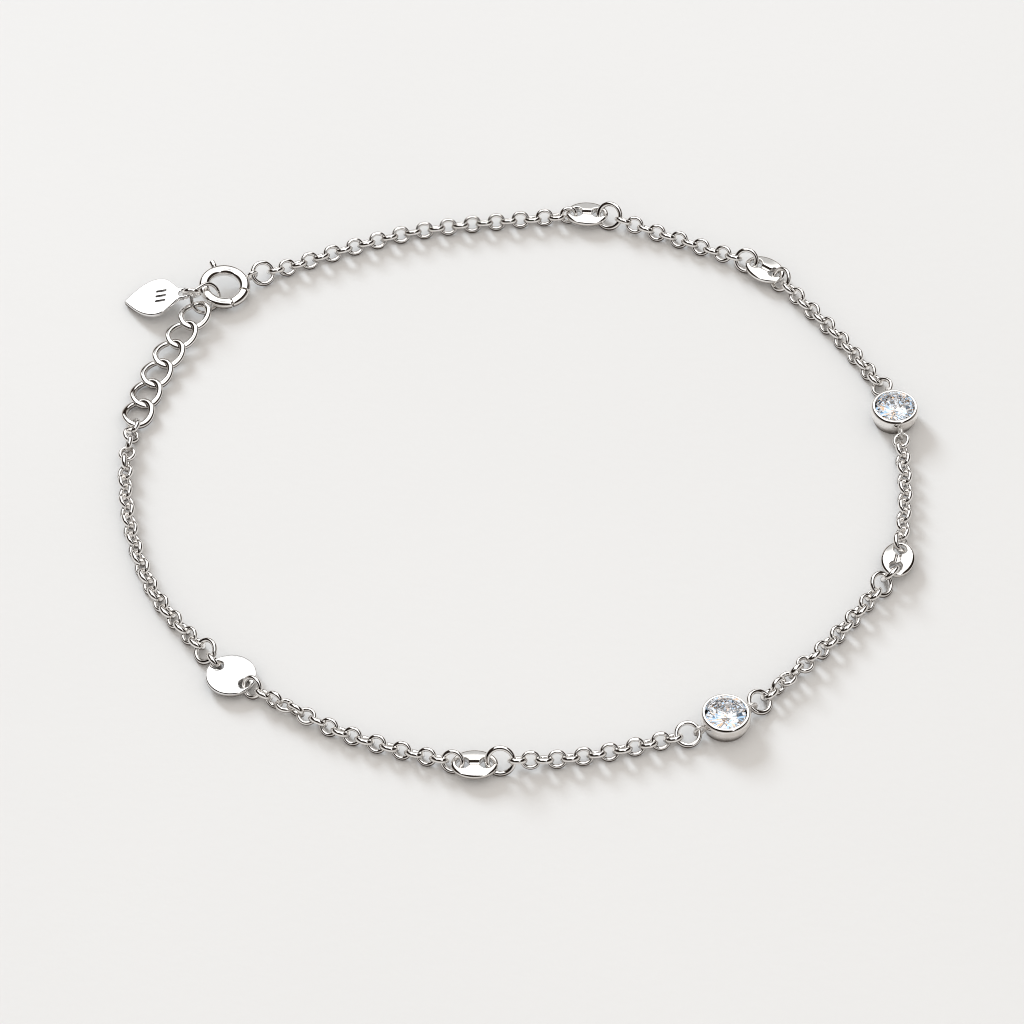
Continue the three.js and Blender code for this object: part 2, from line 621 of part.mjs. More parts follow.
const tag = addMesh(anklet, 'tag', tagGeometry(), SILVER);
tag.position.copy(tagLinkPlace).addScaledVector(tagLinkWay, LINKS.link.radius + TAG_EYE_PLAY);
tag.position.z -= TAG_EYE_DROP;
tag.rotation.set(0, RAD(TAG_DIP), RAD(TAG_HEADING), 'ZYX');

// The origin goes to the middle of the whole anklet's footprint, on the surface it lies on
anklet.updateMatrixWorld(true);
const bounds = new THREE.Box3().setFromObject(anklet, true);
const middle = bounds.getCenter(new THREE.Vector3());
anklet.position.set(-middle.x, -middle.y, -bounds.min.z);

export default anklet;
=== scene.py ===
import math
import random

import bmesh
import bpy
import numpy as np
from mathutils import Matrix, Vector
from mathutils.geometry import delaunay_2d_cdt


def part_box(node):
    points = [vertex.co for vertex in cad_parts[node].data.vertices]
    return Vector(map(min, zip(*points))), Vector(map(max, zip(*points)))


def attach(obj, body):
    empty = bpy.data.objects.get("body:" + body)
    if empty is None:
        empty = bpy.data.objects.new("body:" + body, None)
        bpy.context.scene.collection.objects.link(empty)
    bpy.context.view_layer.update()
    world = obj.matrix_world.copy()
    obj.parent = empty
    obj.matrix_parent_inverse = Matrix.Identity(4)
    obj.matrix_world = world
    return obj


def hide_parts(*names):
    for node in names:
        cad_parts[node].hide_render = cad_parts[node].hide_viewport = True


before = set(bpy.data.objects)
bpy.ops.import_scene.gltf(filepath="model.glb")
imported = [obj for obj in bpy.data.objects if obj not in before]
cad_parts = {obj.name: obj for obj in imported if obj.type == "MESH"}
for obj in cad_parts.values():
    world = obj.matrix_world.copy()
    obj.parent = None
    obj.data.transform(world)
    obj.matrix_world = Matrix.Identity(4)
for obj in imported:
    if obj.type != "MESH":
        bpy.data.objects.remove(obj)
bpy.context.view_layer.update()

# A silver anklet lying in a closed loop on a pale surface. The tables are in millimetres, in the frame
# that the part's source lays its stations out in; everything is made in that frame and moved to the CAD
# frame, in metres, when its mesh is made.
MM = 0.001
random.seed(11)

# Links as the CAD has them, with the wire's radius that shows and the visual link's own radius
LINKS = {
    "link": dict(radius=0.775, wire=0.16, segments=10, straight=0.0, twist=0.0, shown=0.79, thick=0.225, height=0.27),
    "small_ring": dict(radius=0.95, wire=0.18, segments=10, straight=0.0, twist=0.0, shown=0.965, thick=0.235, height=0.26),
    "jump_ring": dict(radius=1.1, wire=0.2, segments=10, straight=0.0, twist=0.0, shown=1.11, thick=0.25, height=0.27),
    "large_ring": dict(radius=1.27, wire=0.19, segments=10, straight=0.0, twist=0.0, shown=1.275, thick=0.265, height=0.27),
    "end_ring": dict(radius=1.32, wire=0.19, segments=14, straight=0.7, twist=0.0, shown=1.325, thick=0.20, height=0.20),
    "extender": dict(radius=1.38, wire=0.25, segments=14, straight=0.69, twist=28.0, shown=1.34, thick=0.36, height=0.30),
}
WIRE_SIDES = 5
GAP = 0.068
CHAIN_ROLL = 45
TURN_LINKS = 6
LIFT_STEP = 0.13
FLOOR_GAP = 0.02

ANCHOR_LENGTH = 4.5
ANCHOR_WIDTH = 3.3
ANCHOR_THICKNESS = 0.78
ANCHOR_HOLE_OFFSET = 1.15
ANCHOR_HOLE_RADIUS = 0.6
ANCHOR_HEIGHT = 0.95

DISC_RADIUS = 2.48
DISC_THICKNESS = 0.46
DISC_HOLE_OFFSET = 1.72
DISC_HOLE_RADIUS = 0.52
DISC_HEIGHT = 0.8

BEZEL_RADIUS = 2.42
BEZEL_FOOT_RADIUS = 2.05
BEZEL_HEIGHT = 2.05
BEZEL_INNER_RADIUS = 2.0
BEZEL_SEAT_HEIGHT = 1.3
BEZEL_SEAT_RADIUS = 1.55
BEZEL_LOOP_RADIUS = 0.5
BEZEL_LOOP_WIRE = 0.18
BEZEL_LOOP_HEIGHT = 0.95
STONE_RADIUS = 1.93
STONE_TABLE_RADIUS = 1.06
STONE_GIRDLE_HEIGHT = 1.66
STONE_GIRDLE_THICKNESS = 0.08
STONE_CROWN = 0.36
STONE_PAVILION = 1.42
STONE_SHOWN_GIRDLE = 1.60
STONE_SHOWN_CROWN = 0.44
STONE_SHOWN_PAVILION = 1.56

CLASP_RADIUS = 2.15
CLASP_TUBE = 0.49
CLASP_GATE = (-98.0, -42.0)
CLASP_TRIGGER_ANGLE = 85.0
CLASP_TRIGGER_RADIUS = 0.3
CLASP_TRIGGER_REACH = 3.42
CLASP_TRAVEL = 53.0
CLASP_LEAN = 9.0
CLASP_HEIGHT = 1.17
CLASP_EYE_RADIUS = 0.5
CLASP_EYE_WIRE = 0.18
CLASP_EYE_OFFSET = 3.3
CLASP_HOOK_ANGLE = -167.0
CLASP_HOOK_OFFSET = 2.58
END_RING_ROLL = 50.0

TAG_LENGTH = 6.55
TAG_HALF_WIDTH = 2.62
TAG_WIDEST = 2.85
TAG_THICKNESS = 0.5
TAG_EYE_RIM = 0.76
TAG_EYE_RADIUS = 0.46
TAG_HEADING = 178.0
TAG_DIP = 14.0
TAG_EYE_DROP = 0.12
TAG_EYE_PLAY = 0.05
TAG_LINK_ANGLE = 128.0
TAG_LINK_ROLL = 70.0
TAG_LINK_HEADING = 178.0

# Stations: x, y, direction of travel in degrees, height, lean about that direction
STATIONS = {
    "clasp": (-30.05, 30.4, 30.0, CLASP_HEIGHT, CLASP_LEAN),
    "anchor_1": (7.97, 41.4, -3.0, ANCHOR_HEIGHT, 0.0),
    "anchor_2": (26.55, 33.1, -37.0, ANCHOR_HEIGHT, 0.0),
    "bezel_1": (38.9, 12.6, -80.0, BEZEL_LOOP_HEIGHT, 0.0),
    "anchor_3": (38.1, -7.1, -104.0, ANCHOR_HEIGHT, 0.0),
    "bezel_2": (20.42, -27.3, -151.0, BEZEL_LOOP_HEIGHT, 0.0),
    "anchor_4": (-3.55, -32.8, 180.0, ANCHOR_HEIGHT, 0.0),
    "disc": (-27.1, -21.8, 138.0, DISC_HEIGHT, 0.0),
}

# Eyes: distance from the station's centre, play of the first link, whether its wire is centred in the eye
EYES = {
    "anchor": (ANCHOR_HOLE_OFFSET, 0.22, True),
    "disc": (DISC_HOLE_OFFSET, 0.18, True),
    "bezel": (BEZEL_RADIUS + BEZEL_LOOP_RADIUS - 0.02, BEZEL_LOOP_RADIUS - BEZEL_LOOP_WIRE - GAP, False),
    "clasp": (CLASP_EYE_OFFSET, CLASP_EYE_RADIUS - CLASP_EYE_WIRE - GAP, False),
    "end": (0.0, LINKS["end_ring"]["radius"] - LINKS["end_ring"]["wire"] - GAP, False),
}

# Runs: node, from, to, fine links, side of the first, lead links, tail links, turn, bow, via points
EXTENDER = [("extender", 0.0)] * 6
RUNS = [
    ("chain_1", "clasp", "anchor_1", 26, -1, [("jump_ring", 40)], [], 15, 2.1, []),
    ("chain_2", "anchor_1", "anchor_2", 11, -1, [("large_ring", 50)], [("jump_ring", 52)], 0, 0.3, []),
    ("chain_3", "anchor_2", "bezel_1", 13, -1, [("jump_ring", 52)], [("small_ring", 25)], 0, 0.5, []),
    ("chain_4", "bezel_1", "anchor_3", 10, -1, [("link", 20)], [("small_ring", -55)], 0, 0.5, []),
    ("chain_5", "anchor_3", "bezel_2", 14, 1, [("small_ring", 58), ("jump_ring", -40)],
     [("jump_ring", -25)], 90, 0.7, []),
    ("chain_6", "bezel_2", "anchor_4", 13, 1, [("jump_ring", -25)], [("large_ring", -55)], 0, 0.7, []),
    ("chain_7", "anchor_4", "disc", 16, 1, [("small_ring", -55)], [("small_ring", -58)], 90, 1.2, []),
    ("chain_8", "disc", "end_ring", 25, 1, [("link", 62), ("jump_ring", -40)], EXTENDER, 90, 0,
     [(-35.4, -10.6), (-38.8, 3.1), (-37.6, 15.0)]),
]

UP = Vector((0, 0, 1))


def heading_vector(degrees):
    return Vector((math.cos(math.radians(degrees)), math.sin(math.radians(degrees)), 0))


def station_matrix(name):
    x, y, heading, height, lean = STATIONS[name]
    turn = Matrix.Rotation(math.radians(heading), 4, "Z") @ Matrix.Rotation(math.radians(lean), 4, "X")
    return Matrix.Translation((x, y, height)) @ turn


def link_matrix(place, tangent, roll):
    inward = tangent.cross(UP).normalized()
    above = inward.cross(tangent)
    normal = above * math.cos(math.radians(roll)) + inward * math.sin(math.radians(roll))
    across = normal.cross(tangent)
    rows = Matrix((tangent, across, normal)).transposed().to_4x4()
    return Matrix.Translation(place) @ rows


def half_length(kind):
    return LINKS[kind]["radius"] + LINKS[kind]["straight"] / 2


def drawn_out(points, straight, twist, half, oval):
    """Ring points pulled apart along X, with straight sides or into an oval, then twisted about X."""
    moved = np.array(points, float)
    if oval:
        moved[:, 0] *= 1 + straight / 2 / np.hypot(moved[:, 0], moved[:, 1])
    else:
        moved[:, 0] += np.sign(np.round(moved[:, 0], 6)) * straight / 2
    angle = -np.radians(twist) * moved[:, 0] / half
    y = moved[:, 1] * np.cos(angle) - moved[:, 2] * np.sin(angle)
    z = moved[:, 1] * np.sin(angle) + moved[:, 2] * np.cos(angle)
    moved[:, 1] = y
    moved[:, 2] = z
    return moved


def coarse_link(kind):
    """The corners of the CAD's own link, which set how low it can lie."""
    link = LINKS[kind]
    corner = link["radius"] / math.cos(math.pi / link["segments"])
    points = []
    for i in range(link["segments"]):
        around = (2 * i + 1) * math.pi / link["segments"]
        for side in range(WIRE_SIDES):
            angle = math.pi + side / WIRE_SIDES * 2 * math.pi
            reach = corner + link["wire"] * math.cos(angle)
            points.append((reach * math.cos(around), reach * math.sin(around), link["wire"] * math.sin(angle)))
    return drawn_out(points, link["straight"], link["twist"], half_length(kind), False)


COARSE = {kind: coarse_link(kind) for kind in LINKS}


def rest_height(kind, tangent, roll, height):
    turn = np.array(link_matrix(Vector((0, 0, 0)), tangent, roll).to_3x3())
    return height - float((COARSE[kind] @ turn.T)[:, 2].min())


class Course:
    """A centripetal Catmull-Rom curve through level points, read by the share of its length."""

    DIVISIONS = 400

    def __init__(self, points):
        self.points = points
        steps = [self.point(i / self.DIVISIONS) for i in range(self.DIVISIONS + 1)]
        self.lengths = [0.0]
        for before, after in zip(steps, steps[1:]):
            self.lengths.append(self.lengths[-1] + (after - before).length)
        self.length = self.lengths[-1]

    def point(self, t):
        points = self.points
        count = len(points)
        place = (count - 1) * t
        index = int(math.floor(place))
        weight = place - index
        if weight == 0 and index == count - 1:
            index = count - 2
            weight = 1
        before = points[index - 1] if index > 0 else points[0] * 2 - points[1]
        one = points[index]
        two = points[index + 1]
        after = points[index + 2] if index + 2 < count else points[-1] * 2 - points[-2]
        gaps = [math.sqrt(max((b - a).length, 1e-9)) for a, b in ((before, one), (one, two), (two, after))]
        first = (one - before) / gaps[0] - (two - before) / (gaps[0] + gaps[1]) + (two - one) / gaps[1]
        second = (two - one) / gaps[1] - (after - one) / (gaps[1] + gaps[2]) + (after - two) / gaps[2]
        first *= gaps[1]
        second *= gaps[1]
        return (one + first * weight + (one * -3 + two * 3 - first * 2 - second) * weight ** 2
                + (one * 2 - two * 2 + first + second) * weight ** 3)

    def share(self, u):
        target = u * self.length
        low, high = 0, self.DIVISIONS
        while high - low > 1:
            middle = (low + high) // 2
            if self.lengths[middle] <= target:
                low = middle
            else:
                high = middle
        span = self.lengths[high] - self.lengths[low]
        return (low + (target - self.lengths[low]) / span) / self.DIVISIONS

    def at(self, along):
        return self.point(min(1.0, max(0.0, self.share(along / self.length))))

    def tangent(self, along):
        t = self.share(along / self.length)
        low = max(0.0, t - 1e-4)
        high = min(1.0, t + 1e-4)
        return (self.point(high) - self.point(low)).normalized()


def eye_of(name, leaving):
    offset, play, centred = EYES[name.split("_")[0]]
    point = station_matrix(name) @ Vector((offset if leaving else -offset, 0, 0))
    return point, play, centred


def hook_distance(one, other):
    return half_length(one) + half_length(other) - LINKS[one]["wire"] - LINKS[other]["wire"] - GAP


def lay_run(run):
    """Every link of a run: kind, whether it is fine chain, roll, place, tangent and matrix."""
    node, start_name, end_name, count, first_side, lead, tail, turn, bow, via = run
    fine = []
    for i in range(count):
        turned = turn * max(0, i + 1 + TURN_LINKS - count) / TURN_LINKS
        fine.append(("link", CHAIN_ROLL * first_side * (-1 if i % 2 else 1) + turned))
    links = [dict(kind=kind, roll=roll, fine=False) for kind, roll in lead]
    links += [dict(kind=kind, roll=roll, fine=True) for kind, roll in fine]
    links += [dict(kind=kind, roll=roll, fine=False) for kind, roll in tail]
    start, start_play, start_centred = eye_of(start_name, True)
    end, end_play, end_centred = eye_of(end_name, False)
    inner = [Vector((x, y, 0)) for x, y in via]
    if not inner:
        across = (end - start).cross(UP).normalized()
        inner = [(start + end) / 2 - across * bow]
    course = Course([Vector((p.x, p.y, 0)) for p in [start, *inner, end]])
    last = links[-1]
    first_gap = half_length(links[0]["kind"]) - LINKS[links[0]["kind"]]["wire"] + start_play
    last_gap = half_length(last["kind"]) - LINKS[last["kind"]]["wire"] + end_play
    hooks = [0.0 if a["fine"] and b["fine"] else hook_distance(a["kind"], b["kind"])
             for a, b in zip(links, links[1:])]
    pitch = (course.length - first_gap - last_gap - sum(hooks)) / (count - 1)
    along = first_gap
    for i, link in enumerate(links):
        if i:
            along += hooks[i - 1] or pitch
        link["place"] = course.at(along)
        link["place"].z = rest_height(link["kind"], course.tangent(along), link["roll"], FLOOR_GAP)
    links[0]["place"].z = max(links[0]["place"].z, start.z - LIFT_STEP)
    last["place"].z = max(last["place"].z, end.z - LIFT_STEP)
    for a, b in zip(links, links[1:]):
        b["place"].z = max(b["place"].z, a["place"].z - LIFT_STEP)
    for a, b in zip(links[::-1], links[-2::-1]):
        b["place"].z = max(b["place"].z, a["place"].z - LIFT_STEP)
    for i, link in enumerate(links):
        before = start if i == 0 else links[i - 1]["place"]
        after = end if link is last else links[i + 1]["place"]
        low = link["place"] if link is last and end_centred else before
        high = link["place"] if i == 0 and start_centred else after
        link["tangent"] = (high - low).normalized()
        link["place"].z = max(link["place"].z, rest_height(link["kind"], link["tangent"], link["roll"], FLOOR_GAP))
        link["matrix"] = link_matrix(link["place"], link["tangent"], link["roll"])
    return links


# The end ring hooks round the clasp's tube
end_way = heading_vector(STATIONS["clasp"][2] + CLASP_HOOK_ANGLE + 180)
STATIONS["end_ring"] = (
    STATIONS["clasp"][0] - CLASP_HOOK_OFFSET * end_way.x,
    STATIONS["clasp"][1] - CLASP_HOOK_OFFSET * end_way.y,
    STATIONS["clasp"][2] + CLASP_HOOK_ANGLE + 180,
    rest_height("end_ring", end_way, END_RING_ROLL, FLOOR_GAP),
    0.0,
)

# From the table's frame to the CAD's, found from the disc, in millimetres
disc_low, disc_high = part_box("disc")
OFFSET = (disc_low + disc_high) / 2 / MM - Vector(STATIONS["disc"][:2] + (DISC_HEIGHT,))


# Camera: the photograph's angle, distance and lens
CAMERA_ELEVATION = 48.5
CAMERA_DISTANCE = 430.0
FOCAL_PIXELS = 4300.0
PHOTO_PIXELS = 1024.0
SENSOR = 36.0


def make_camera():
    camera = bpy.data.objects.new("camera", bpy.data.cameras.new("camera"))
    bpy.context.scene.collection.objects.link(camera)
    bpy.context.scene.camera = camera
    rise = math.radians(CAMERA_ELEVATION)
    back = Vector((0, -math.cos(rise), math.sin(rise)))
    target = Vector((OFFSET.x, OFFSET.y, 0))
    camera.location = (target + back * CAMERA_DISTANCE) * MM
    camera.rotation_mode = "QUATERNION"
    camera.rotation_quaternion = (-back).to_track_quat("-Z", "Y")
    camera.data.sensor_width = SENSOR
    camera.data.lens = FOCAL_PIXELS / PHOTO_PIXELS * SENSOR
    camera.data.clip_start = 0.01
    camera.data.clip_end = 20.0
    return camera


make_camera()


# Materials


class Shader:
    """A material being built, with short ways to add nodes and join them."""

    def __init__(self, name):
        self.material = bpy.data.materials.new(name)
        self.material.use_nodes = True
        self.nodes = self.material.node_tree.nodes
        self.links = self.material.node_tree.links
        self.shader = self.nodes["Principled BSDF"]

    def node(self, kind, **settings):
        made = self.nodes.new(kind)
        for key, value in settings.items():
            setattr(made, key, value)
        return made

    def join(self, source, target):
        self.links.new(source, target)

    def position(self, scale):
        """Object coordinates times a scale, so one unit is 1/scale metres."""
        coordinates = self.node("ShaderNodeTexCoord")
        mapping = self.node("ShaderNodeMapping")
        mapping.inputs["Scale"].default_value = scale
        self.join(coordinates.outputs["Object"], mapping.inputs["Vector"])
        return mapping.outputs["Vector"]

    def noise(self, vector, scale, detail=3.0, roughness=0.5):
        noise = self.node("ShaderNodeTexNoise")
        noise.inputs["Scale"].default_value = scale
        noise.inputs["Detail"].default_value = detail
        noise.inputs["Roughness"].default_value = roughness
        self.join(vector, noise.inputs["Vector"])
        return noise.outputs["Fac"]

    def ramp(self, value, stops):
        ramp = self.node("ShaderNodeValToRGB")
        elements = ramp.color_ramp.elements
        while len(elements) < len(stops):
            elements.new(0.5)
        for element, (place, colour) in zip(elements, stops):
            element.position = place
            element.color = (*colour, 1.0)
        self.join(value, ramp.inputs["Fac"])
        return ramp.outputs["Color"]

    def spread(self, value, low, high):
        spread = self.node("ShaderNodeMapRange")
        spread.inputs["To Min"].default_value = low
        spread.inputs["To Max"].default_value = high
        self.join(value, spread.inputs["Value"])
        return spread.outputs["Result"]

    def bump(self, height, strength, distance):
        bump = self.node("ShaderNodeBump")
        bump.inputs["Strength"].default_value = strength
        bump.inputs["Distance"].default_value = distance
        self.join(height, bump.inputs["Height"])
        return bump.outputs["Normal"]


def silver(name, dark, light, smooth, rough, wear):
    """Silver with cloudy variation, and scratches and handling marks as fine bump."""
    made = Shader(name)
    place = made.position((1000, 1000, 1000))
    clouds = made.noise(place, 0.9, 4.0, 0.6)
    made.join(made.ramp(clouds, [(0.3, dark), (0.7, light)]), made.shader.inputs["Base Color"])
    marks = made.noise(place, 7.0, 5.0, 0.65)
    made.join(made.spread(marks, smooth, rough), made.shader.inputs["Roughness"])
    hairs = made.noise(made.position((2600, 9000, 5200)), 1.0, 2.0, 0.5)
    made.join(made.bump(hairs, wear, 0.00001), made.shader.inputs["Normal"])
    made.shader.inputs["Metallic"].default_value = 1.0
    return made.material


SILVER = silver("polished_silver", (0.88, 0.86, 0.835), (0.96, 0.945, 0.93), 0.02, 0.09, 0.12)
MIRROR = silver("mirror_silver", (0.93, 0.925, 0.92), (0.98, 0.978, 0.975), 0.02, 0.06, 0.05)
SATIN = silver("satin_silver", (0.84, 0.82, 0.795), (0.93, 0.915, 0.90), 0.24, 0.38, 0.5)
SATIN.node_tree.nodes["Principled BSDF"].inputs["Metallic"].default_value = 0.78
OXIDE = silver("oxidised_silver", (0.16, 0.15, 0.145), (0.30, 0.29, 0.28), 0.3, 0.5, 0.3)


def stone_material():
    """Clear stone, a little hazier in places."""
    made = Shader("clear_stone")
    place = made.position((1000, 1000, 1000))
    haze = made.noise(place, 3.0, 3.0, 0.5)
    made.join(made.ramp(haze, [(0.3, (0.955, 0.975, 1.0)), (0.7, (1.0, 1.0, 1.0))]), made.shader.inputs["Base Color"])
    made.shader.inputs["Transmission Weight"].default_value = 1.0
    made.shader.inputs["IOR"].default_value = 2.0
    made.shader.inputs["Roughness"].default_value = 0.0
    return made.material


STONE = stone_material()
FOIL = silver("stone_foil", (0.95, 0.95, 0.96), (0.98, 0.98, 0.985), 0.0, 0.01, 0.0)


def floor_material():
    made = Shader("pale_surface")
    place = made.position((1, 1, 1))
    clouds = made.noise(place, 9.0, 4.0, 0.55)
    colours = [(0.3, (0.744, 0.749, 0.756)), (0.7, (0.764, 0.769, 0.776))]
    made.join(made.ramp(clouds, colours), made.shader.inputs["Base Color"])
    grain = made.noise(place, 900.0, 4.0, 0.6)
    made.join(made.spread(grain, 0.55, 0.72), made.shader.inputs["Roughness"])
    made.join(made.bump(grain, 0.10, 0.0002), made.shader.inputs["Normal"])
    made.shader.inputs["Specular IOR Level"].default_value = 0.3
    # Painted shade: for glossy rays that reach the surface from close by, its colour is mixed toward a dark warm
    # colour, more the shorter the ray
    shade = made.node("ShaderNodeMix", data_type="RGBA")
    rays = made.node("ShaderNodeLightPath")
    near = made.node("ShaderNodeMapRange", interpolation_type="SMOOTHSTEP")
    near.inputs["From Min"].default_value = CONTACT_NEAR * MM
    near.inputs["From Max"].default_value = CONTACT_FAR * MM
    near.inputs["To Min"].default_value = 1.0
    near.inputs["To Max"].default_value = 0.0
    made.join(rays.outputs["Ray Length"], near.inputs["Value"])
    painted_shade_mask = made.node("ShaderNodeMath", operation="MULTIPLY")
    made.join(near.outputs["Result"], painted_shade_mask.inputs[0])
    made.join(rays.outputs["Is Glossy Ray"], painted_shade_mask.inputs[1])
    made.join(painted_shade_mask.outputs["Value"], shade.inputs["Factor"])
    base = made.shader.inputs["Base Color"].links[0].from_socket
    made.join(base, shade.inputs["A"])
    shade.inputs["B"].default_value = (*PAINTED_CONTACT_SHADE, 1.0)
    made.join(shade.outputs["Result"], made.shader.inputs["Base Color"])
    return made.material


# Painted shade: the surface close under the metal, as the metal reflects it, has its colour painted dark and warm,
# standing in for the metal's own shade on it
CONTACT_NEAR = 0.35
CONTACT_FAR = 1.6
PAINTED_CONTACT_SHADE = (0.06, 0.04, 0.028)
FLOOR = floor_material()


# Meshes


def face_outward(mesh):
    """Turn the faces of each closed shell in a mesh to point out of it."""
    shells = bmesh.new()
    shells.from_mesh(mesh)
    bmesh.ops.recalc_face_normals(shells, faces=shells.faces)
    shells.to_mesh(mesh)
    shells.free()


def add_piece(name, points, faces, matrix, material, body="anklet", slot="silver", replaces=()):
    """One shown piece: points in millimetres, put in place by a matrix in the table's frame."""
    points = np.asarray(points, float)
    turn = np.array(matrix.to_3x3())
    placed = points @ turn.T + np.array(matrix.translation) + np.array(OFFSET)
    mesh = bpy.data.meshes.new(name)
    mesh.from_pydata((placed * MM).tolist(), [], [list(map(int, face)) for face in faces])
    face_outward(mesh)
    piece = bpy.data.objects.new(name, mesh)
    bpy.context.scene.collection.objects.link(piece)
    mesh.materials.append(material)
    mesh.polygons.foreach_set("use_smooth", [True] * len(mesh.polygons))
    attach(piece, body)
    if replaces:
        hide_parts(*replaces)
    return piece


def grid_faces(rows, columns, closed_rows, closed_columns):
    """Quads over a grid of points laid out row by row."""
    faces = []
    for i in range(rows if closed_rows else rows - 1):
        for j in range(columns if closed_columns else columns - 1):
            a = i * columns + j
            b = i * columns + (j + 1) % columns
            c = (i + 1) % rows * columns + (j + 1) % columns
            d = (i + 1) % rows * columns + j
            faces.append((a, b, c, d))
    return faces


def section(sides, half_width, half_height, power):
    """The section of a wire or tube: an oval whose sides flatten as the power rises past 2."""
    points = []
    for j in range(sides):
        angle = 2 * math.pi * j / sides
        x = math.copysign(abs(math.cos(angle)) ** (2 / power), math.cos(angle)) * half_width
        z = math.copysign(abs(math.sin(angle)) ** (2 / power), math.sin(angle)) * half_height
        points.append((x, z))
    return points


def torus(radius, segments, wire_section):
    """A closed ring round Z with the given wire section."""
    points = []
    for i in range(segments):
        around = 2 * math.pi * i / segments
        for x, z in wire_section:
            points.append(((radius + x) * math.cos(around), (radius + x) * math.sin(around), z))
    return np.array(points), grid_faces(segments, len(wire_section), True, True)


def open_ring(radius, start, stop, segments, wire_section, ends):
    """An arc of wire in degrees whose ends are rounded over by a small share of the section and closed."""
    turn = math.degrees(ends * max(x for x, _ in wire_section) / radius)
    rows = [(start, 0.0)]
    for k in range(5):
        angle = k / 4 * math.pi / 2
        rows.append((start + turn * (1 - math.cos(angle)), 1 - ends + ends * math.sin(angle)))
    for k in range(1, segments):
        rows.append((start + turn + (stop - start - 2 * turn) * k / segments, 1.0))
    for k in range(4, -1, -1):
        angle = k / 4 * math.pi / 2
        rows.append((stop - turn * (1 - math.cos(angle)), 1 - ends + ends * math.sin(angle)))
    rows.append((stop, 0.0))
    points = []
    for degrees, share in rows:
        around = math.radians(degrees)
        for x, z in wire_section:
            reach = radius + share * x
            points.append((reach * math.cos(around), reach * math.sin(around), share * z))
    return np.array(points), grid_faces(len(rows), len(wire_section), False, True)


def lathe(profile, segments, closed):
    """A profile of (radius, height) turned about Z."""
    points = []
    for radius, height in profile:
        for i in range(segments):
            around = 2 * math.pi * i / segments
            points.append((radius * math.cos(around), radius * math.sin(around), height))
    return np.array(points), grid_faces(len(profile), segments, closed, True)


def merged(parts):
    """Several (points, faces) as one."""
    points, faces, start = [], [], 0
    for some, these in parts:
        points.append(np.asarray(some, float))
        faces += [tuple(index + start for index in face) for face in these]
        start += len(some)
    return np.concatenate(points), faces


def moved(part, matrix):
    points, faces = part
    return points @ np.array(matrix.to_3x3()).T + np.array(matrix.translation), faces


def inside(polygon, x, y):
    """Whether a point lies in a closed polygon."""
    odd = False
    for (x1, y1), (x2, y2) in zip(polygon, np.roll(polygon, -1, axis=0)):
        if (y1 > y) != (y2 > y) and x < (x2 - x1) * (y - y1) / (y2 - y1) + x1:
            odd = not odd
    return odd


def loop_normals(loop):
    """Unit normals pointing to the left of a loop's direction, one for each point."""
    ahead = np.roll(loop, -1, axis=0) - loop
    ahead /= np.linalg.norm(ahead, axis=1)[:, None]
    mean = ahead + np.roll(ahead, 1, axis=0)
    mean /= np.linalg.norm(mean, axis=1)[:, None]
    return np.stack([-mean[:, 1], mean[:, 0]], axis=1)


def plate(outline, holes, edge, cap, spacing):
    """A plate seen from above: outline runs anticlockwise and holes clockwise, so the metal is on the left
    of each; every hole comes with its own edge. An edge is a list of (distance in, share of the height),
    from the middle of the wall up. cap gives the height of the top at (x, y); the underside mirrors it."""
    points, faces, inner_loops = [], [], []
    for loop, profile in [(outline, edge), *holes]:
        normals = loop_normals(loop)
        count = len(loop)
        first = len(points)
        for distance, share in profile:
            for x, y in loop + normals * distance:
                points.append((x, y, share * cap(x, y)))
        for row in range(len(profile) - 1):
            for i in range(count):
                a = first + row * count + i
                b = first + row * count + (i + 1) % count
                faces.append((a, b, b + count, a + count))
        inner_loops.append(range(first + (len(profile) - 1) * count, first + len(profile) * count))
    flat = [points[i][:2] for loop in inner_loops for i in loop]
    owners = [i for loop in inner_loops for i in loop]
    edges, start = [], 0
    polygons = []
    for loop in inner_loops:
        count = len(loop)
        edges += [(start + i, start + (i + 1) % count) for i in range(count)]
        polygons.append(np.array(flat[start:start + count]))
        start += count
    solid = np.array(flat)
    low, high = solid.min(0), solid.max(0)
    rise = spacing * math.sqrt(3) / 2
    for row in range(int((high[1] - low[1]) / rise) + 1):
        for column in range(int((high[0] - low[0]) / spacing) + 1):
            x = low[0] + (column + 0.5 * (row % 2)) * spacing
            y = low[1] + row * rise
            if np.min(np.hypot(solid[:, 0] - x, solid[:, 1] - y)) < spacing * 0.6:
                continue
            if inside(polygons[0], x, y) and not any(inside(hole, x, y) for hole in polygons[1:]):
                flat.append((x, y))
                owners.append(len(points))
                points.append((x, y, cap(x, y)))
    found, _, triangles, origins, _, _ = delaunay_2d_cdt([Vector(p) for p in flat], edges, [], 0, 1e-6)
    for triangle in triangles:
        x, y = sum((found[i] for i in triangle), Vector((0, 0))) / 3
        if inside(polygons[0], x, y) and not any(inside(hole, x, y) for hole in polygons[1:]):
            faces.append(tuple(owners[origins[i][0]] for i in triangle))
    top = np.array(points)
    rims = set()
    start = 0
    for loop, profile in [(outline, edge), *holes]:
        rims.update(range(start, start + len(loop)))
        start += len(loop) * len(profile)
    shared = {}
    under = []
    for i, (x, y, z) in enumerate(top):
        if i in rims:
            shared[i] = i
        else:
            shared[i] = len(top) + len(under)
            under.append((x, y, -z))
    faces += [tuple(shared[i] for i in face[::-1]) for face in list(faces)]
    return np.concatenate([top, np.array(under)]), faces


def circle(radius, count, x=0.0, y=0.0, clockwise=False):
    angles = np.arange(count) / count * 2 * math.pi * (-1 if clockwise else 1)
    return np.stack([x + radius * np.cos(angles), y + radius * np.sin(angles)], axis=1)


DWELL = 0.6


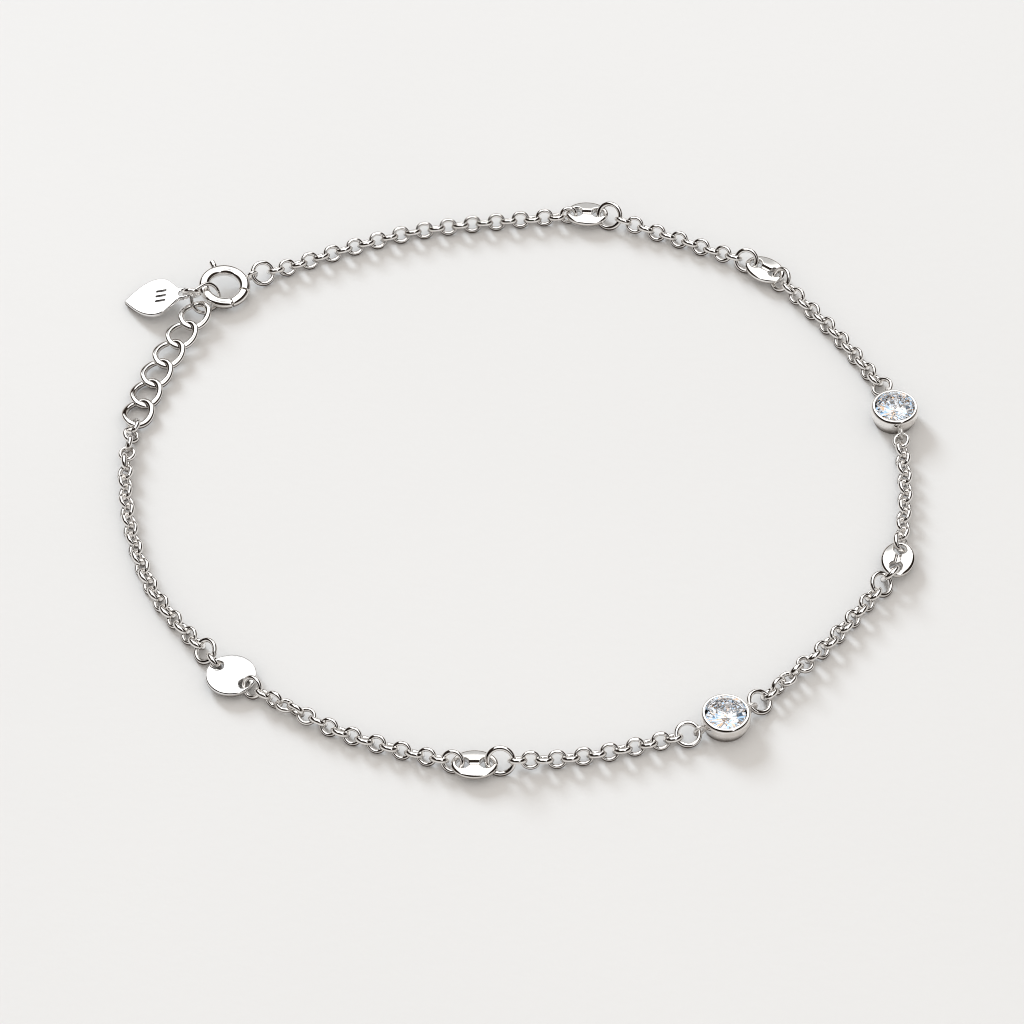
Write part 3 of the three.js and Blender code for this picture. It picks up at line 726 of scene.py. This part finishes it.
def eased(width, rise, steps):
    """A rounded edge that lingers near 45 degrees, as (distance in, distance up) from the wall to the top."""
    points = [(0.0, 0.0)]
    for k in range(steps):
        t = 2 * (k + 0.5) / steps - 1
        angle = math.radians(45 + 45 * ((1 - DWELL) * t + DWELL * t ** 3))
        points.append((points[-1][0] + math.sin(angle), points[-1][1] + math.cos(angle)))
    return [(x / points[-1][0] * width, z / points[-1][1] * rise) for x, z in points]


def plate_edge(width, wall, steps, level=0.0):
    """A plate's edge profile: wall is the share of its half thickness that stands upright, and level is the
    width of an even border inside the rounding, which keeps the reflections along it clean."""
    profile = [(0.0, 0.0)] + [(x, wall + z) for x, z in eased(width, 1 - wall, steps)]
    return profile + [(width + level, 1.0)] if level else profile


# Fine chain: each run's links are one joined piece


def link_mesh(kind, segments, sides):
    link = LINKS[kind]
    thick = link["thick"]
    height = link["height"]
    power, twist = (2.2, 15.0) if kind == "extender" else (2.0, 0.0)
    points, faces = torus(link["shown"], segments, section(sides, thick, height, power))
    half = link["shown"] + link["straight"] / 2
    if kind == "link":
        around = np.repeat(np.arange(segments) * 2 * math.pi / segments, sides)
        points[:, 1] -= LINK_NARROWED * np.sin(around)
    return drawn_out(points, link["straight"], twist, half, kind != "end_ring"), faces


EDGE_ON_EASE = 0.16
LINK_NARROWED = 0.08
FINE_LINK = link_mesh("link", 40, 14)
ring_count = 0
extender_count = 0
layout = {run[0]: lay_run(run) for run in RUNS}
for run in RUNS:
    node = run[0]
    links = layout[node]
    parts = []
    for link in links:
        if link["fine"]:
            inward = link["tangent"].cross(UP).normalized()
            away = max(0.0, math.sin(math.radians(link["roll"])) * inward.y)
            roll = link["roll"] * (1 - EDGE_ON_EASE * away) + random.uniform(-3, 3)
            parts.append(moved(FINE_LINK, link_matrix(link["place"], link["tangent"], roll)))
    points, faces = merged(parts)
    add_piece(f"fine_{node}", points, faces, Matrix.Identity(4), SILVER, replaces=[node])
    for link in links:
        if link["fine"]:
            continue
        if link["kind"] == "extender":
            extender_count += 1
            name, replaced = f"curb_link_{extender_count}", f"extender_{extender_count}"
            part = link_mesh("extender", 72, 20)
        else:
            ring_count += 1
            name, replaced = f"wire_ring_{ring_count}", f"ring_{ring_count}"
            part = link_mesh(link["kind"], 64, 18)
        add_piece(name, *part, link["matrix"], SILVER, replaces=[replaced])


# Stations


ANCHOR_PUFF = 0.11
ANCHOR_EDGE = 0.27
ANCHOR_HOLE_EDGE = 0.14
BRIDGE_DEPTH = 0.24
BRIDGE_HALF_WIDTH = 0.22


def anchor_cap(x, y):
    """Half the thickness at a point: a low puff, sunk along the bridge between the holes."""
    across = (2 * x / ANCHOR_LENGTH) ** 2 + (2 * y / ANCHOR_WIDTH) ** 2
    puff = ANCHOR_PUFF * min(1.0, across) ** 1.3
    bridge = BRIDGE_DEPTH * math.exp(-abs(y / BRIDGE_HALF_WIDTH) ** 3) / (1 + (abs(x) / 0.9) ** 8)
    return ANCHOR_THICKNESS / 2 - puff - bridge


def anchor_part():
    outline = circle(1.0, 128) * np.array([ANCHOR_LENGTH / 2, ANCHOR_WIDTH / 2])
    edge = plate_edge(ANCHOR_EDGE, 0.54, 9, 0.03)
    hole_edge = plate_edge(ANCHOR_HOLE_EDGE, 0.5, 6)
    holes = [(circle(ANCHOR_HOLE_RADIUS, 56, side * ANCHOR_HOLE_OFFSET, 0, True), hole_edge) for side in (-1, 1)]
    return plate(outline, holes, edge, anchor_cap, 0.085)


ANCHOR = anchor_part()
for number in (1, 2, 3, 4):
    name = f"anchor_{number}"
    add_piece(f"puffed_connector_{number}", *ANCHOR, station_matrix(name), SILVER, replaces=[name])


DISC_SHOWN_THICKNESS = 0.56
DISC_EDGE = 0.14
DISC_HOLE_EDGE = 0.07


def disc_part():
    outline = circle(DISC_RADIUS, 144)
    edge = plate_edge(DISC_EDGE, 0.55, 7)
    hole_edge = plate_edge(DISC_HOLE_EDGE, 0.4, 5)
    holes = [(circle(DISC_HOLE_RADIUS, 48, side * DISC_HOLE_OFFSET, 0, True), hole_edge) for side in (-1, 1)]
    return plate(outline, holes, edge, lambda x, y: DISC_SHOWN_THICKNESS / 2, 0.3)


add_piece("plain_disc", *disc_part(), station_matrix("disc"), MIRROR, replaces=["disc"])


# Bezels: a cup with a rolled lip and a loop soldered on either side


RIM_WIDTH = 0.23
RIM_RISE = 0.30
RIM_FLAT = 0.13
RIM_INNER_ROUND = 0.05
SATIN_ROWS = 9


def bezel_profile():
    """(radius, height) round the cup's section, from the foot's outside up over the rim and down inside
    to the cone that the stone sits in."""
    profile = [(BEZEL_FOOT_RADIUS - 0.04, 0.0), (BEZEL_FOOT_RADIUS, 0.03)]
    for k in range(1, 9):
        share = k / 8
        swell = math.sin(share * math.pi / 2)
        profile.append((BEZEL_FOOT_RADIUS + (BEZEL_RADIUS - BEZEL_FOOT_RADIUS) * swell, 0.03 + 1.25 * share))
    for x, z in eased(RIM_WIDTH, RIM_RISE, 12):
        profile.append((BEZEL_RADIUS - x, BEZEL_HEIGHT - RIM_RISE + z))
    inner = BEZEL_RADIUS - RIM_WIDTH - RIM_FLAT
    for k in range(6):
        angle = k / 5 * math.pi / 2
        profile.append((inner - RIM_INNER_ROUND * math.sin(angle),
                        BEZEL_HEIGHT - RIM_INNER_ROUND * (1 - math.cos(angle))))
    profile += [(inner - RIM_INNER_ROUND - 0.02, STONE_SHOWN_GIRDLE + 0.1),
                (STONE_RADIUS + 0.02, STONE_SHOWN_GIRDLE - 0.02),
                (0.25, 0.14),
                (0.0, 0.12)]
    return profile


def bezel_part():
    parts = [lathe(bezel_profile(), 128, False)]
    loop_section = section(16, BEZEL_LOOP_WIRE * 0.95, BEZEL_LOOP_WIRE * 0.95, 2.0)
    for side in (-1, 1):
        loop = torus(BEZEL_LOOP_RADIUS, 48, loop_section)
        stand = Matrix.Rotation(math.pi / 2, 4, "X")
        place = Matrix.Translation((side * EYES["bezel"][0], 0, BEZEL_LOOP_HEIGHT))
        parts.append(moved(loop, place @ stand))
    return merged(parts)


# The round brilliant cut: table, stars, kites and girdle facets above; halves and mains below
STAR_REACH = 1.50
LOWER_REACH = 0.42


def brilliant():
    eighth = math.pi / 4
    crown, depth, girdle = STONE_SHOWN_CROWN, STONE_SHOWN_PAVILION, STONE_GIRDLE_THICKNESS
    table_radius, radius = STONE_TABLE_RADIUS, STONE_RADIUS

    def ring(reach, height, half):
        return [(reach * math.cos((k + half) * eighth), reach * math.sin((k + half) * eighth), height)
                for k in range(8)]

    slope = math.cos(eighth / 2)
    star_height = girdle + crown * (radius - STAR_REACH * slope) / (radius - table_radius)
    lower_height = -depth * (radius - LOWER_REACH * slope) / radius
    points = ring(table_radius, girdle + crown, 0) + ring(STAR_REACH, star_height, 0.5)
    for height in (girdle, 0.0):
        for k in range(16):
            points.append((radius * math.cos(k * eighth / 2), radius * math.sin(k * eighth / 2), height))
    points += ring(LOWER_REACH, lower_height, 0.5)
    points.append((0.0, 0.0, -depth))
    table, star, upper, lower, main, culet = 0, 8, 16, 32, 48, 56
    faces = [tuple(range(8))]
    for k in range(8):
        after = (k + 1) % 8
        before = (k - 1) % 8
        faces.append((table + k, star + k, table + after))
        faces.append((table + k, star + before, upper + 2 * k, star + k))
        faces.append((star + k, upper + 2 * k, upper + 2 * k + 1))
        faces.append((star + k, upper + 2 * k + 1, upper + 2 * after))
        faces.append((main + k, lower + 2 * k + 1, lower + 2 * k))
        faces.append((main + k, lower + 2 * after, lower + 2 * k + 1))
        faces.append((culet, main + k, lower + 2 * k, main + before))
        for j in (2 * k, 2 * k + 1):
            faces.append((upper + j, lower + j, lower + (j + 1) % 16, upper + (j + 1) % 16))
    return np.array(points), faces


BEZEL = bezel_part()
CUP_ROWS = 128 * (len(bezel_profile()) - 1)
BEZEL_FINISH = [0 if index < 128 * SATIN_ROWS or index >= CUP_ROWS else 1 for index in range(len(BEZEL[1]))]
BRILLIANT = brilliant()
for number in (1, 2):
    x, y, heading, _, _ = STATIONS[f"bezel_{number}"]
    place = Matrix.Translation((x, y, 0)) @ Matrix.Rotation(math.radians(heading), 4, "Z")
    cup = add_piece(f"bezel_cup_{number}", *BEZEL, place, SATIN, slot="satin_silver",
                    replaces=[f"bezel_{number}"])
    cup.data.materials.append(SILVER)
    cup.data.polygons.foreach_set("material_index", BEZEL_FINISH)
    turned = place @ Matrix.Translation((0, 0, STONE_SHOWN_GIRDLE)) @ Matrix.Rotation(0.35 * number, 4, "Z")
    stone = add_piece(f"brilliant_{number}", *BRILLIANT, turned, STONE, slot="clear_stone",
                      replaces=[f"stone_{number}"])
    stone.data.materials.append(FOIL)
    stone.data.polygons.foreach_set("use_smooth", [False] * len(stone.data.polygons))
    stone.data.polygons.foreach_set("material_index", [1 if len(face) != 4 and min(face) >= 32 or
                                                       56 in face else 0 for face in BRILLIANT[1]])


# Clasp: a hollow case, slotted for the trigger, with its tail eye; and the bolt with its trigger
CLASP_SIDES = 32
CLASP_SHOWN_RADIUS = 2.13
CLASP_SECTION = section(CLASP_SIDES, 0.60, 0.50, 2.2)
CLASP_BORE_SECTION = section(CLASP_SIDES, 0.565, 0.465, 2.2)
CLASP_GATE_SECTION = section(CLASP_SIDES, 0.555, 0.455, 2.2)
CLASP_ROD = 0.34
TRIGGER_SHOWN_RADIUS = 0.36
CLASP_SEAM = 2.2
SLOT_PLAY = 9.0
SLOT_SIDES = 4
clasp_place = station_matrix("clasp")


def clasp_case_part():
    start, stop = CLASP_GATE[1] + CLASP_SEAM, CLASP_GATE[0] + 360 - CLASP_SEAM
    slot_from = CLASP_TRIGGER_ANGLE - CLASP_TRAVEL - SLOT_PLAY
    slot_to = CLASP_TRIGGER_ANGLE + SLOT_PLAY
    angles = [start, start + 0.35, start + 1.2]
    angles += list(np.linspace(start + 4, slot_from, 16)) + list(np.linspace(slot_from, slot_to, 20)[1:])
    angles += list(np.linspace(slot_to, stop - 4, 46)[1:]) + [stop - 1.2, stop - 0.35, stop]
    shares = [0.95, 0.985] + [1.0] * (len(angles) - 4) + [0.985, 0.95]
    outer, inner = [], []
    for degrees, share in zip(angles, shares):
        around = math.radians(degrees)
        for x, z in CLASP_SECTION:
            reach = CLASP_SHOWN_RADIUS + x * share
            outer.append((reach * math.cos(around), reach * math.sin(around), z * share))
        for x, z in CLASP_BORE_SECTION:
            reach = CLASP_SHOWN_RADIUS + x
            inner.append((reach * math.cos(around), reach * math.sin(around), z))
    rows = len(angles)

    def kept(i, j):
        in_slot = slot_from - 0.01 < angles[i] and angles[i + 1] < slot_to + 0.01
        return not (in_slot and (j < SLOT_SIDES or j >= CLASP_SIDES - SLOT_SIDES))

    faces = []
    skin = len(outer)
    for i in range(rows - 1):
        for j in range(CLASP_SIDES):
            after = (j + 1) % CLASP_SIDES
            a, b = i * CLASP_SIDES + j, i * CLASP_SIDES + after
            c, d = (i + 1) * CLASP_SIDES + after, (i + 1) * CLASP_SIDES + j
            if not kept(i, j):
                continue
            faces.append((a, d, c, b))
            faces.append((skin + a, skin + b, skin + c, skin + d))
            before = (j - 1) % CLASP_SIDES
            if i == 0 or not kept(i - 1, j):
                faces.append((a, b, skin + b, skin + a))
            if i == rows - 2 or not kept(i + 1, j):
                faces.append((c, d, skin + d, skin + c))
            if not kept(i, before):
                faces.append((d, a, skin + a, skin + d))
            if not kept(i, after):
                faces.append((b, c, skin + c, skin + b))
    stand = Matrix.Rotation(math.pi / 2, 4, "X")
    eye = moved(torus(CLASP_EYE_RADIUS, 48, section(16, CLASP_EYE_WIRE, CLASP_EYE_WIRE, 2.0)),
                Matrix.Translation((CLASP_EYE_OFFSET, 0, 0)) @ stand)
    return merged([(np.array(outer + inner), faces), eye])


def clasp_bolt_part():
    gate = open_ring(CLASP_SHOWN_RADIUS, CLASP_GATE[0] + CLASP_SEAM, CLASP_GATE[1] - CLASP_SEAM, 30,
                     CLASP_GATE_SECTION, 0.06)
    rod = open_ring(CLASP_SHOWN_RADIUS, CLASP_TRIGGER_ANGLE - 360 - 8, CLASP_GATE[0] + 2, 60,
                    section(20, CLASP_ROD, CLASP_ROD, 2.0), 0.1)
    reach = CLASP_TRIGGER_REACH - CLASP_SHOWN_RADIUS
    knob_radius = TRIGGER_SHOWN_RADIUS
    profile = [(0.0, 0.0), (knob_radius * 0.8, 0.0), (knob_radius * 0.85, 0.6)]
    for k in range(1, 4):
        angle = k / 3 * math.pi / 2
        profile.append((knob_radius * (0.85 + 0.15 * math.sin(angle)), 0.6 + 0.12 * k / 3))
    for k in range(6):
        angle = k / 5 * math.pi / 2
        profile.append((knob_radius - 0.06 * (1 - math.cos(angle)), reach - 0.06 + 0.06 * math.sin(angle)))
    profile.append((0.0, reach))
    knob = lathe(profile, 32, False)
    outwards = Matrix.Rotation(math.radians(CLASP_TRIGGER_ANGLE), 4, "Z")
    outwards = outwards @ Matrix.Translation((CLASP_SHOWN_RADIUS, 0, 0)) @ Matrix.Rotation(math.pi / 2, 4, "Y")
    return merged([gate, rod, moved(knob, outwards)])


add_piece("ring_clasp_case", *clasp_case_part(), clasp_place, SILVER, replaces=["clasp_case"])
add_piece("ring_clasp_bolt", *clasp_bolt_part(), clasp_place, SILVER, body="clasp_bolt",
          replaces=["clasp_bolt"])


# End ring, tag link and tag
end_place = Matrix.Translation(STATIONS["end_ring"][:2] + (STATIONS["end_ring"][3],))
end_matrix = link_matrix(end_place.translation, end_way, END_RING_ROLL)
add_piece("oval_end_ring", *link_mesh("end_ring", 72, 18), end_matrix, SILVER, replaces=["end_ring"])

hook = end_matrix @ (heading_vector(TAG_LINK_ANGLE) * LINKS["end_ring"]["radius"])
tag_way = heading_vector(TAG_LINK_HEADING)
link_reach = LINKS["link"]["radius"] - LINKS["link"]["wire"] - LINKS["end_ring"]["wire"] - GAP
tag_link_place = hook + tag_way * link_reach
tag_link_matrix = link_matrix(tag_link_place, tag_way, TAG_LINK_ROLL)
add_piece("small_tag_link", *FINE_LINK, tag_link_matrix, SILVER, replaces=["tag_link"])


def bezier(start, one, two, end, count):
    t = np.arange(count)[:, None] / count
    start, one, two, end = (np.array(p, float) for p in (start, one, two, end))
    return ((1 - t) ** 3 * start + 3 * t * (1 - t) ** 2 * one + 3 * t ** 2 * (1 - t) * two + t ** 3 * end)


def tag_outline():
    rim = TAG_EYE_RIM
    tip = (TAG_LENGTH, 0)
    side = bezier(tip, (TAG_LENGTH - 1.1, 1.15), (4.5, TAG_HALF_WIDTH), (TAG_WIDEST, TAG_HALF_WIDTH), 40)
    shoulder = bezier((TAG_WIDEST, TAG_HALF_WIDTH), (1.7, TAG_HALF_WIDTH), (1.15, 1.35),
                      (rim * 0.5, rim * 0.87), 26)
    arc = [(rim * math.cos(math.radians(a)), rim * math.sin(math.radians(a))) for a in range(60, 181, 8)]
    half = np.concatenate([side, shoulder, np.array(arc)])
    mirrored = half[1:][::-1] * np.array([1, -1])
    loop = np.concatenate([half, mirrored])
    for _ in range(6):
        loop = (np.roll(loop, 1, axis=0) + 2 * loop + np.roll(loop, -1, axis=0)) / 4
    return loop


MARK_WIDTH = 0.25
MARK_LENGTH = 1.1
MARK_SPACING = 0.7
MARK_CENTRE = 2.45
MARK_SUNK = 0.05
MARK_ENDS = 10


def bar_outline(x, y, width, length):
    """A round-ended bar's outline, anticlockwise, lying along X."""
    points = []
    for end in (1, -1):
        for k in range(MARK_ENDS + 1):
            angle = math.pi * (k / MARK_ENDS - 0.5) + (math.pi if end < 0 else 0)
            points.append((x + end * (length - width) / 2 + width / 2 * math.cos(angle),
                           y + width / 2 * math.sin(angle)))
    return np.array(points)


def bar_part(x, y):
    """The floor of a sunk bar: a closed slab a little thinner than the tag."""
    outline = bar_outline(x, y, MARK_WIDTH - 0.01, MARK_LENGTH - 0.01)
    count = len(outline)
    height = TAG_THICKNESS / 2 - MARK_SUNK
    points = [(px, py, z) for z in (-height, height) for px, py in outline]
    faces = grid_faces(2, count, False, True)
    faces += [tuple(range(count, 2 * count)), tuple(range(count - 1, -1, -1))]
    return np.array(points), faces


tag_place = tag_link_place + tag_way * (LINKS["link"]["radius"] + TAG_EYE_PLAY)
tag_place.z -= TAG_EYE_DROP
tag_matrix = (Matrix.Translation(tag_place) @ Matrix.Rotation(math.radians(TAG_HEADING), 4, "Z")
              @ Matrix.Rotation(math.radians(TAG_DIP), 4, "Y"))
tag_edge = plate_edge(0.11, 0.5, 7, 0.05)
tag_holes = [(circle(TAG_EYE_RADIUS, 40, 0, 0, True), plate_edge(0.11, 0.5, 7))]
for row in (-1, 0, 1):
    bar = bar_outline(MARK_CENTRE, row * MARK_SPACING, MARK_WIDTH, MARK_LENGTH)
    tag_holes.append((bar[::-1], plate_edge(0.025, 0.9, 3, 0.05)))
tag_part = plate(tag_outline(), tag_holes, tag_edge, lambda x, y: TAG_THICKNESS / 2, 0.3)
add_piece("drop_tag", *tag_part, tag_matrix, MIRROR, replaces=["tag"])
marks = merged([bar_part(MARK_CENTRE, row * MARK_SPACING) for row in (-1, 0, 1)])
add_piece("tag_marks", *marks, tag_matrix, OXIDE)


# Surface and light
FLOOR_SIZE = 4.0
floor_mesh = bpy.data.meshes.new("surface")
half = FLOOR_SIZE / 2
floor_mesh.from_pydata([(-half, -half, 0), (half, -half, 0), (half, half, 0), (-half, half, 0)], [], [(0, 1, 2, 3)])
floor_mesh.materials.append(FLOOR)
floor = bpy.data.objects.new("surface", floor_mesh)
bpy.context.scene.collection.objects.link(floor)


def area_light(name, place, size, power, colour, spread=180.0):
    light = bpy.data.lights.new(name, "AREA")
    light.shape = "RECTANGLE"
    light.size, light.size_y = size
    light.energy = power
    light.color = colour
    light.spread = math.radians(spread)
    lamp = bpy.data.objects.new(name, light)
    bpy.context.scene.collection.objects.link(lamp)
    lamp.location = place
    lamp.rotation_mode = "QUATERNION"
    lamp.rotation_quaternion = (-Vector(place)).to_track_quat("-Z", "Y")
    return lamp


window = area_light("window", (-0.94, 1.56, 0.85), (0.60, 0.60), 35.0, (0.87, 0.94, 1.0))
window.visible_glossy = False
window.visible_transmission = False


def studio_world():
    """A pale dome over a dark horizon, with two dim patches where the camera's stand would be seen."""
    world = bpy.data.worlds.new("studio")
    bpy.context.scene.world = world
    world.use_nodes = True
    nodes = world.node_tree.nodes
    links = world.node_tree.links
    place = nodes.new("ShaderNodeTexCoord")
    parts = nodes.new("ShaderNodeSeparateXYZ")
    links.new(place.outputs["Generated"], parts.inputs["Vector"])

    def math_node(operation, one, two):
        made = nodes.new("ShaderNodeMath")
        made.operation = operation
        for socket, value in zip(made.inputs, (one, two)):
            if isinstance(value, (int, float)):
                socket.default_value = value
            else:
                links.new(value, socket)
        return made.outputs[0]

    def smooth(value, low, high, start, stop):
        made = nodes.new("ShaderNodeMapRange")
        made.interpolation_type = "SMOOTHSTEP"
        made.inputs["From Min"].default_value = low
        made.inputs["From Max"].default_value = high
        made.inputs["To Min"].default_value = start
        made.inputs["To Max"].default_value = stop
        links.new(value, made.inputs["Value"])
        return made.outputs["Result"]

    dome = smooth(parts.outputs["Z"], 0.46, 0.52, 0.02, 1.0)
    aside = math_node("ABSOLUTE", parts.outputs["X"], 0.0)
    flags = smooth(aside, 0.46, 0.55, 1.0, 0.02)
    dome = math_node("MULTIPLY", dome, flags)

    def patch(direction, inner, outer, low):
        dot = nodes.new("ShaderNodeVectorMath")
        dot.operation = "DOT_PRODUCT"
        links.new(place.outputs["Generated"], dot.inputs[0])
        dot.inputs[1].default_value = Vector(direction).normalized()
        return smooth(dot.outputs["Value"], math.cos(math.radians(outer)), math.cos(math.radians(inner)), 1.0, low)

    value = math_node("MULTIPLY", dome, patch((-0.18, -0.78, 0.60), 32, 35, 0.02))
    value = math_node("MULTIPLY", value, patch((0.02, 0.13, 1.0), 4, 8, 0.35))
    value = math_node("MULTIPLY", value, patch((0.0, 0.84, 0.55), 8, 13, 0.40))
    low_sky = smooth(parts.outputs["Z"], 0.265, 0.30, LOW_SKY, 0.0)
    value = math_node("MAXIMUM", value, low_sky)
    rays = nodes.new("ShaderNodeLightPath")
    tints = nodes.new("ShaderNodeTexNoise")
    tints.inputs["Scale"].default_value = 2.6
    tints.inputs["Detail"].default_value = 0.0
    links.new(place.outputs["Generated"], tints.inputs["Vector"])
    fire = nodes.new("ShaderNodeValToRGB")
    for step, (position, tint) in enumerate(FIRE):
        element = fire.color_ramp.elements[step] if step < 2 else fire.color_ramp.elements.new(0.9)
        element.position = position
        element.color = (*tint, 1.0)
    links.new(tints.outputs["Fac"], fire.inputs["Fac"])
    breaks = nodes.new("ShaderNodeTexNoise")
    breaks.inputs["Scale"].default_value = 1.5
    breaks.inputs["Detail"].default_value = 0.0
    links.new(place.outputs["Generated"], breaks.inputs["Vector"])
    sparkle = smooth(breaks.outputs["Fac"], 0.34, 0.46, 0.16, 0.90)
    difference = math_node("SUBTRACT", sparkle, value)
    through = math_node("MULTIPLY", rays.outputs["Is Transmission Ray"], difference)
    value = math_node("ADD", value, through)
    even = math_node("MULTIPLY", rays.outputs["Is Diffuse Ray"], math_node("SUBTRACT", DIFFUSE_SKY, value))
    value = math_node("ADD", value, even)
    colour = nodes.new("ShaderNodeMix")
    colour.data_type = "RGBA"
    shade = nodes.new("ShaderNodeMix")
    shade.data_type = "RGBA"
    shade.inputs["A"].default_value = (1.0, 0.76, 0.60, 1)
    shade.inputs["B"].default_value = (1.0, 0.995, 0.985, 1)
    links.new(smooth(value, 0.0, 0.4, 0.0, 1.0), shade.inputs["Factor"])
    seen = nodes.new("ShaderNodeMix")
    seen.data_type = "RGBA"
    links.new(rays.outputs["Is Transmission Ray"], seen.inputs["Factor"])
    links.new(shade.outputs["Result"], seen.inputs["A"])
    links.new(fire.outputs["Color"], seen.inputs["B"])
    links.new(seen.outputs["Result"], colour.inputs["A"])
    colour.inputs["B"].default_value = (1.0, 0.943, 0.88, 1)
    links.new(rays.outputs["Is Diffuse Ray"], colour.inputs["Factor"])
    background = nodes["Background"]
    links.new(colour.outputs["Result"], background.inputs["Color"])
    dimmed = math_node("MULTIPLY", rays.outputs["Is Glossy Ray"], GLOSSY_STRENGTH - WORLD_STRENGTH)
    strength = math_node("ADD", dimmed, WORLD_STRENGTH)
    links.new(math_node("MULTIPLY", value, strength), background.inputs["Strength"])


WORLD_STRENGTH = 1.32
GLOSSY_STRENGTH = 1.5
DIFFUSE_SKY = 0.64
LOW_SKY = 0.25
FIRE = [(0.36, (1.0, 0.62, 0.34)), (0.43, (1.0, 0.99, 0.97)), (0.56, (0.97, 0.99, 1.0)), (0.63, (0.45, 0.72, 1.0))]
studio_world()

bpy.context.scene.view_settings.view_transform = "Standard"
bpy.context.scene.cycles.filter_width = 1.1
bpy.context.scene.cycles.max_bounces = 24
bpy.context.scene.cycles.glossy_bounces = 14
bpy.context.scene.cycles.transmission_bounces = 18
